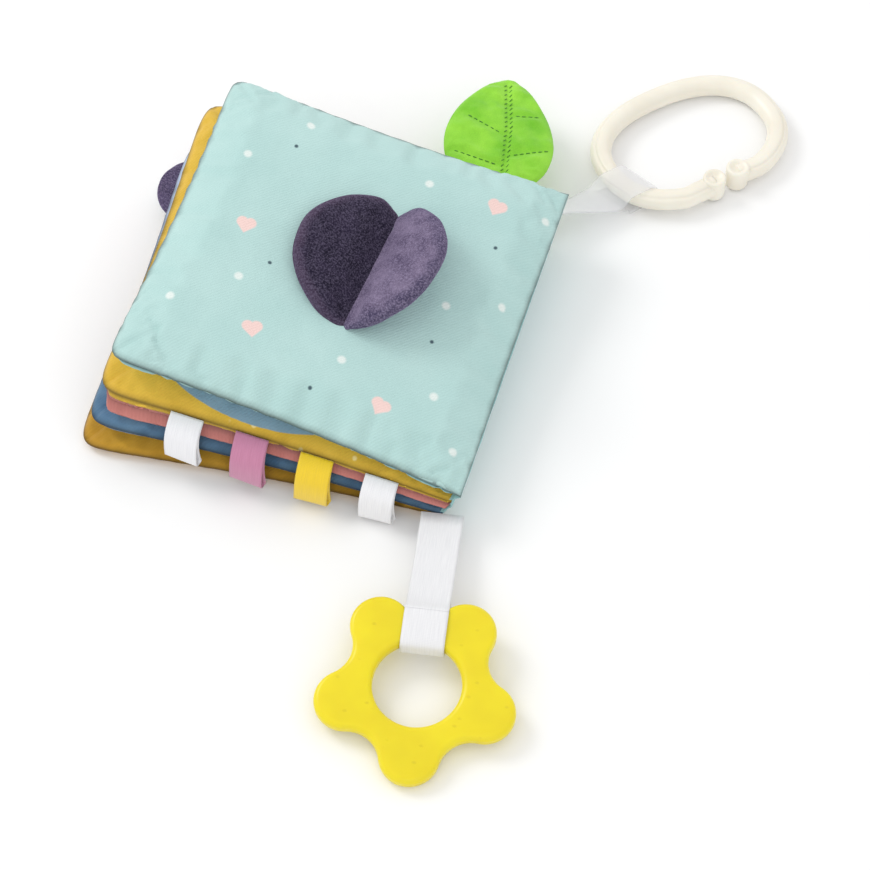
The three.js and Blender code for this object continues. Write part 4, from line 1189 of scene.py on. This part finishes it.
def make_tag(i):
    """A folded tag: out of the seam, down, round its foot and back up behind itself."""
    from_spine = TAG_FIRST + TAG_PITCH * i
    seat = second_leaf.place(from_spine, 0, 0).moved(0, edge_draw(from_spine) - SEAT_GAP, 0)
    seat = seat.turned("x", -math.degrees(math.asin(second_leaf.normal[1])))
    out, drop = TAG_OUTS[i] * TAG_FIT, TAG_DROPS[i] * TAG_FIT
    t = np.linspace(0, 1, 22)
    line = bezier((0, 0), (-out * 0.7, 0), (-out, -drop * 0.3), (-out, -drop), t)
    tangent = unit(np.gradient(line, axis=0))
    away = np.stack([-tangent[:, 1], tangent[:, 0]], 1)
    open_by = (TAG_OPEN + TAG_OPENS_BY * t**2)[:, None]
    turn = np.linspace(0, math.pi, 9)[1:-1]
    foot_x, foot_y = line[-1]
    fold = np.stack([
        foot_x + open_by[-1] * np.cos(turn) * away[-1, 0], foot_y - TAG_FOOT * np.sin(turn)], 1)
    loop = np.concatenate([line + away * open_by, fold, (line - away * open_by)[::-1]])
    share = np.concatenate([t, np.ones(len(fold)), t[::-1]])
    sway = TAG_SWAY * share - 0.7 * np.sin(share * math.pi * 0.85) * (0.6 + 0.4 * math.cos(i * 2.1))
    front, back = len(t), len(t) + len(fold)
    sway[back:] -= TAG_BACK_SWAY * share[back:] ** 2
    sway[front:back] -= np.linspace(0, TAG_BACK_SWAY, len(fold))
    path = np.stack([sway, loop[:, 0], loop[:, 1]], 1)
    twist = 0.05 * math.sin(i * 1.7 + 0.6) * share
    sideways = unit(np.stack([np.ones(len(loop)), twist, 0.1 * share * math.cos(i)], 1))
    piece, length = make_ribbon(
        f"tag_loop_{i + 1}", seat.at(path), sideways @ seat.axes, np.full(len(loop), TAG_WIDTH),
        TAG_THICK, *TAG_SATINS[i], 0.25)
    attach(piece, f"tag_{i + 1}_body")
    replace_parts(piece, f"tag_{i + 1}")


for i in range(4):
    make_tag(i)

# Ring and teether
RING_LENGTH = 84.5
RING_WIDTH = 62.5
RING_TUBE = 4.25
RING_AT = (46.8, PAGE + 58.2)
OVAL_POWER = 2.32
RING_TILT = 1.8
RING_TURN = 42.5
RING_LIFT = 1.06
# Half the opening between the ring's ends, in degrees
RING_GAP = 24
RING_KNOTS = 62
RING_STEPS = 240
RING_SIDES = 64
# The fine lines along the ring: their angle from its outermost line, their width and their depth
LINE_AT = 0.95
LINE_WIDTH = 0.12
LINE_DEPTH = 0.45
CUP_RADIUS = 4.7
CUP_HALF = 4.8
CUP_GAP = 1.9
CUP_SHIFT = 1.3
CUP_INWARD = 2.4
# A cup's section from its underside to its top: shares of the radius, and millimetres from an end
CUP_BELOW = ((0, 1.2), (0.5, 0.85), (0.7, 0.1), (0.76, 0), (0.9, 0), (0.97, 0.3), (1, 0.9))
CUP_ABOVE = (
    (1, 0.9), (0.97, 0.3), (0.9, 0), (0.76, 0), (0.7, 0.12), (0.5, 1.0), (0.25, 1.4), (0, 1.5))


def ring_points(angle):
    """Places on the middle line of the ring's bar, which is a rounded oval."""
    def bend(value):
        return np.sign(value) * abs(value) ** (2 / OVAL_POWER)

    x = (RING_LENGTH / 2 - RING_TUBE) * bend(np.cos(angle))
    y = (RING_WIDTH / 2 - RING_TUBE) * bend(np.sin(angle))
    return np.stack([x, y, np.zeros_like(x)], -1)


def ring_seat():
    turn = math.radians(RING_TURN)
    half_x, half_y = RING_LENGTH / 2 - RING_TUBE, RING_WIDTH / 2 - RING_TUBE
    reach = math.hypot(half_x * math.sin(turn), half_y * math.cos(turn))
    height = RING_TUBE + RING_LIFT * reach * math.sin(math.radians(RING_TILT))
    return level_seat(*RING_AT, height).turned("x", -RING_TILT).turned("z", RING_TURN)


def tube(path, section):
    """A closed tube round a path. section has offsets to the side and up."""
    side = unit(np.cross(np.gradient(path, axis=0), UP))
    rings = path[:, None] + side[:, None] * section[:, :1] + UP * section[:, 1:]
    count, sides = rings.shape[:2]
    faces = [[a, d, c, b] for a, b, c, d in ring_faces(count, sides)]
    faces.append(list(range(sides)))
    faces.append([(count - 1) * sides + n for n in reversed(range(sides))])
    return rings.reshape(-1, 3), faces


def lathe(profile, count=48):
    """A solid of revolution round Z from (radius, height) pairs that start and end at radius 0."""
    angles = np.linspace(0, 2 * math.pi, count, endpoint=False)
    points = [(0, 0, profile[0][1])]
    for radius, height in profile[1:-1]:
        points += [(radius * math.cos(a), radius * math.sin(a), height) for a in angles]
    points.append((0, 0, profile[-1][1]))
    rings = len(profile) - 2
    faces = [[0, 1 + (n + 1) % count, 1 + n] for n in range(count)]
    faces += ring_faces(rings, count, 1)
    last, end = 1 + (rings - 1) * count, len(points) - 1
    faces += [[last + n, last + (n + 1) % count, end] for n in range(count)]
    return np.array(points), faces


def join_solids(first, others):
    """Makes the first solid one with the others, which go."""
    for other in others:
        union = first.modifiers.new("union", "BOOLEAN")
        union.operation = "UNION"
        union.solver = "EXACT"
        union.object = other
        evaluated = first.evaluated_get(bpy.context.evaluated_depsgraph_get())
        shaped = bpy.data.meshes.new_from_object(evaluated)
        first.modifiers.clear()
        first.data = shaped
        bpy.data.objects.remove(other)
    first.data.polygons.foreach_set("use_smooth", [True] * len(first.data.polygons))


def make_ring():
    """An open oval ring whose two ends are joined side by side in small cups."""
    low = -(RING_WIDTH / 2 - RING_TUBE) + CUP_INWARD
    cups = [np.array((CUP_SHIFT + side * (CUP_RADIUS + CUP_GAP / 2), low, 0)) for side in (-1, 1)]
    gap = math.radians(RING_GAP)
    angles = gap - math.pi / 2 + 2 * (math.pi - gap) * np.linspace(0, 1, 900)
    knots = np.vstack([cups[1], ring_points(angles), cups[0]])
    walked = np.concatenate([[0], np.cumsum(np.linalg.norm(np.diff(knots, axis=0), axis=1))])
    even = np.linspace(0, walked[-1], RING_KNOTS)
    knots = np.stack([np.interp(even, walked, knots[:, n]) for n in range(3)], -1)
    around = np.linspace(0, 2 * math.pi, RING_SIDES, endpoint=False)
    lines = sum(
        np.exp(-(((around - a + math.pi) % (2 * math.pi) - math.pi) / LINE_WIDTH) ** 2)
        for a in (LINE_AT, 2 * math.pi - LINE_AT))
    size = RING_TUBE * (1 + 0.02 * np.cos(2 * around)) - LINE_DEPTH * lines
    section = np.stack([size * np.cos(around), size * np.sin(around)], -1)
    points, faces = tube(through(knots, np.linspace(0, 1, RING_STEPS)), section)
    seat = ring_seat()
    ring = make_object("link_ring", seat.at(points), faces, None, ivory)
    profile = [(CUP_RADIUS * share, rise - CUP_HALF) for share, rise in CUP_BELOW]
    profile += [(CUP_RADIUS * share, CUP_HALF - fall) for share, fall in CUP_ABOVE]
    points, faces = lathe(profile)
    cups = [make_object("cup", seat.at(points + centre), faces, None, ivory) for centre in cups]
    join_solids(ring, cups)
    dress(ring, "ring_body", "ivory_plastic", "ring")


make_ring()

TEETHER_LOBES = 5
TEETHER_LOBE = 11.0
TEETHER_CIRCLE = 26.3
TEETHER_VALLEY = 26.3
TEETHER_HOLE = 16.0
TEETHER_THICK = 6.0
TEETHER_EDGE = 2.2
TEETHER_AT = (-5.9, -74.5)
TEETHER_TILT = 8.0
TEETHER_TURN = 5.2
TEETHER_FIRST_LOBE = 127.4
TEETHER_STEPS = 300
TEETHER_SWELL = 0.12


def teether_seat():
    low = (TEETHER_CIRCLE + TEETHER_LOBE) * math.sin(math.radians(TEETHER_TILT))
    seat = level_seat(*TEETHER_AT, low + TEETHER_THICK / 2)
    return seat.turned("z", TEETHER_TURN).turned("x", TEETHER_TILT)


def teether_radius(angles):
    """The outline's radius at each angle from a lobe's middle: on its circle or in the hollow."""
    share = math.pi / TEETHER_LOBES
    cosine = math.cos(share)
    between = TEETHER_CIRCLE**2 + TEETHER_VALLEY**2 - 2 * TEETHER_CIRCLE * TEETHER_VALLEY * cosine
    inward = TEETHER_VALLEY - TEETHER_CIRCLE * cosine - TEETHER_LOBE
    fillet = (TEETHER_LOBE**2 - between) / (2 * inward)
    hollow = TEETHER_VALLEY + fillet
    turn = math.atan2(hollow * math.sin(share), hollow * cosine - TEETHER_CIRCLE)
    meet = math.atan2(TEETHER_LOBE * math.sin(turn), TEETHER_CIRCLE + TEETHER_LOBE * math.cos(turn))
    local = abs((angles + share) % (2 * share) - share)
    lobe = TEETHER_CIRCLE * np.cos(local) + np.sqrt(
        np.maximum(0, TEETHER_LOBE**2 - (TEETHER_CIRCLE * np.sin(local)) ** 2))
    off = share - local
    valley = hollow * np.cos(off) - np.sqrt(np.maximum(0, fillet**2 - (hollow * np.sin(off)) ** 2))
    return np.where(local <= meet, lobe, valley)


def make_teether():
    angles = np.linspace(0, 2 * math.pi, TEETHER_STEPS, endpoint=False)
    half, edge = TEETHER_THICK / 2, TEETHER_EDGE
    corner = np.linspace(0, math.pi / 2, 7)
    arc = [(edge * (1 - math.cos(a)), half - edge + edge * math.sin(a)) for a in corner]
    swell = [(f, half + TEETHER_SWELL * math.sin(math.pi * f)) for f in np.linspace(0, 1, 14)[1:-1]]
    points = []
    for angle, radius in zip(angles, teether_radius(angles)):
        upper = [(TEETHER_HOLE + d, z) for d, z in arc]
        upper += [(lerp(TEETHER_HOLE + edge, radius - edge, f), z) for f, z in swell]
        upper += [(radius - d, z) for d, z in arc[::-1]]
        section = upper + [(r, -z) for r, z in upper[::-1]]
        points += [(r * math.cos(angle), r * math.sin(angle), z) for r, z in section]
    points = teether_seat().turned("z", TEETHER_FIRST_LOBE).at(points)
    faces = np.array(ring_faces(TEETHER_STEPS, len(section), closed=True))
    piece = make_object("teether_star", points, outward(points, faces), None, silicone)
    dress(piece, "teether_body", "yellow_silicone", "teether")


make_teether()

# Ribbon loops, each from its root in the spine round a bar and back
LOOP_CLEAR = 0.75
LOOP_TURN = 125
LOOP_PINCH = 5.0
LOOP_SAG = 0.6
LOOP_APART = 0.5
LOOP_STEPS = 120


def make_loop(
        name, part, root, bar, bar_size, slope, widths, sides, thick, satin, edge, bend):
    """A loop from its root round a bar of the holder. widths and sides are the ribbon's width and
    direction at the root and on the bar. bend is not used."""
    reach = np.linalg.norm((bar - root)[:2])
    away = (bar - root) * (1, 1, 0) / reach
    bar_thick, bar_width = bar_size
    rise, run = bar_thick / 2 + LOOP_CLEAR, bar_width / 2 + LOOP_CLEAR
    near = -bar_width / 2
    turn = np.radians(np.linspace(LOOP_TURN, -LOOP_TURN, 29))
    out, up = (np.sign(value) * abs(value) ** 0.5 for value in (np.cos(turn), np.sin(turn)))
    out = run * out
    round_bar = np.stack([out, bar[2] + slope * out + rise * up], 1)
    pinch = near - LOOP_PINCH
    first, last = root[2] + LOOP_APART, bar[2] + slope * near + LOOP_APART
    middle = (lerp(-reach, pinch, 0.5), lerp(first, last, 0.5) - LOOP_SAG)
    upper = np.array([(-reach, first), middle, (pinch, last)])
    lower = upper[::-1] - (0, 2 * LOOP_APART)
    line = through(np.concatenate([upper, round_bar, lower]), np.linspace(0, 1, LOOP_STEPS))
    path = bar + away * line[:, :1]
    path[:, 2] = line[:, 1]
    share = smooth((reach + line[:, 0]) / (reach + near))
    widths = lerp(*widths, share)
    sideways = unit(lerp(*sides, share[:, None]))
    piece, length = make_ribbon(name, path, sideways, widths, thick, *satin, edge)
    bends = (tuple(world(bar - away * before)) for before in bend)
    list(bends)
    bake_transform(piece)
    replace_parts(piece, f"{part}_ribbon")


# Where the ribbon grips the ring, in degrees round it
RING_GRIP = 196
GRIP_STEP = 5
RING_BOW = 2.3
RING_RIBBON_X = -2.0
RING_RIBBON_Z = 17.0
RING_RIBBON_WIDTHS = (8.0, 17.5)


def make_ring_ribbon():
    seat = ring_seat()
    grip, before, after = (
        seat.at(ring_points(np.radians(RING_GRIP + step))) for step in (0, -GRIP_STEP, GRIP_STEP))
    along = unit((after - before) * (1, 1, 0))
    if along[0] < 0:
        along = -along
    low, high = third_leaf.spine_top, second_leaf.spine_top
    root = lerp(low, high, (RING_RIBBON_Z - low[2]) / (high[2] - low[2]))
    root = np.array((RING_RIBBON_X, root[1] + SEAT_GAP, RING_RIBBON_Z))
    bar_size = (2 * RING_TUBE, 2 * (RING_TUBE + RING_BOW))
    make_loop(
        "sheer_loop", "ring", root, grip, bar_size, 0,
        RING_RIBBON_WIDTHS, (EAST, along), 0.35, (sheer, "sheer_ribbon"), 0.0, (16, 6))


make_ring_ribbon()

TEETHER_FLARE = 3.2
TEETHER_RIBBON_WIDTH = 16.0
TEETHER_RIBBON_Z = 8.6


def make_teether_ribbon():
    seat = teether_seat()
    hole_edge = math.sqrt(TEETHER_HOLE**2 - (TEETHER_RIBBON_WIDTH / 2) ** 2)
    valley_edge = TEETHER_VALLEY + TEETHER_FLARE
    point = seat.at((0, (hole_edge + valley_edge) / 2, 0))
    along = seat.axes[0]
    away = np.array((-along[1], along[0], 0))
    root = point + away * (third_leaf.spine_bottom[1] - SEAT_GAP - point[1]) / away[1]
    root[2] = TEETHER_RIBBON_Z
    bar_size = (TEETHER_THICK, valley_edge - hole_edge)
    slope = -math.sin(math.radians(TEETHER_TILT))
    make_loop(
        "teether_loop", "teether", root, point, bar_size, slope,
        (TEETHER_RIBBON_WIDTH,) * 2, (along, along), 0.55, (ribbon_satin_shaded, "white_satin"), 0.25,
        (18, 9))


make_teether_ribbon()

# Stage and light
FLOOR_HALF = 3.0
LIT_PLACE = (0.0, 0.0, 0.02)


def make_stage():
    mesh = bpy.data.meshes.new("floor")
    corners = [(x * FLOOR_HALF, y * FLOOR_HALF, 0) for x, y in ((-1, -1), (1, -1), (1, 1), (-1, 1))]
    mesh.from_pydata(corners, [], [[0, 1, 2, 3]])
    floor = bpy.data.objects.new("floor", mesh)
    scene.collection.objects.link(floor)
    finish = Finish("pale_floor", 0.9, 0.0, 0.1)
    soft = finish.noise(finish.body(), 3.0, 1.0)
    finish.colour(finish.mix(soft, (0.93, 0.93, 0.935, 1), (0.95, 0.95, 0.95, 1)))
    mesh.materials.append(finish.material)


def area_light(name, place, size, energy, colour=(1, 1, 1)):
    data = bpy.data.lights.new(name, "AREA")
    data.shape = "DISK"
    data.size = size
    data.energy = energy
    data.color = colour
    place_aimed(name, data, place, LIT_PLACE)


make_stage()
area_light("key", (-0.92, 0.3, 0.95), 0.6, 4.9, (1.0, 0.995, 0.98))
area_light("fill", (0.3, -1.1, 0.9), 1.2, 1.5)

surround = bpy.data.worlds.new("surround")
surround.use_nodes = True
background = surround.node_tree.nodes["Background"].inputs
background["Color"].default_value = (1, 1, 1, 1)
background["Strength"].default_value = 0.92
scene.world = surround
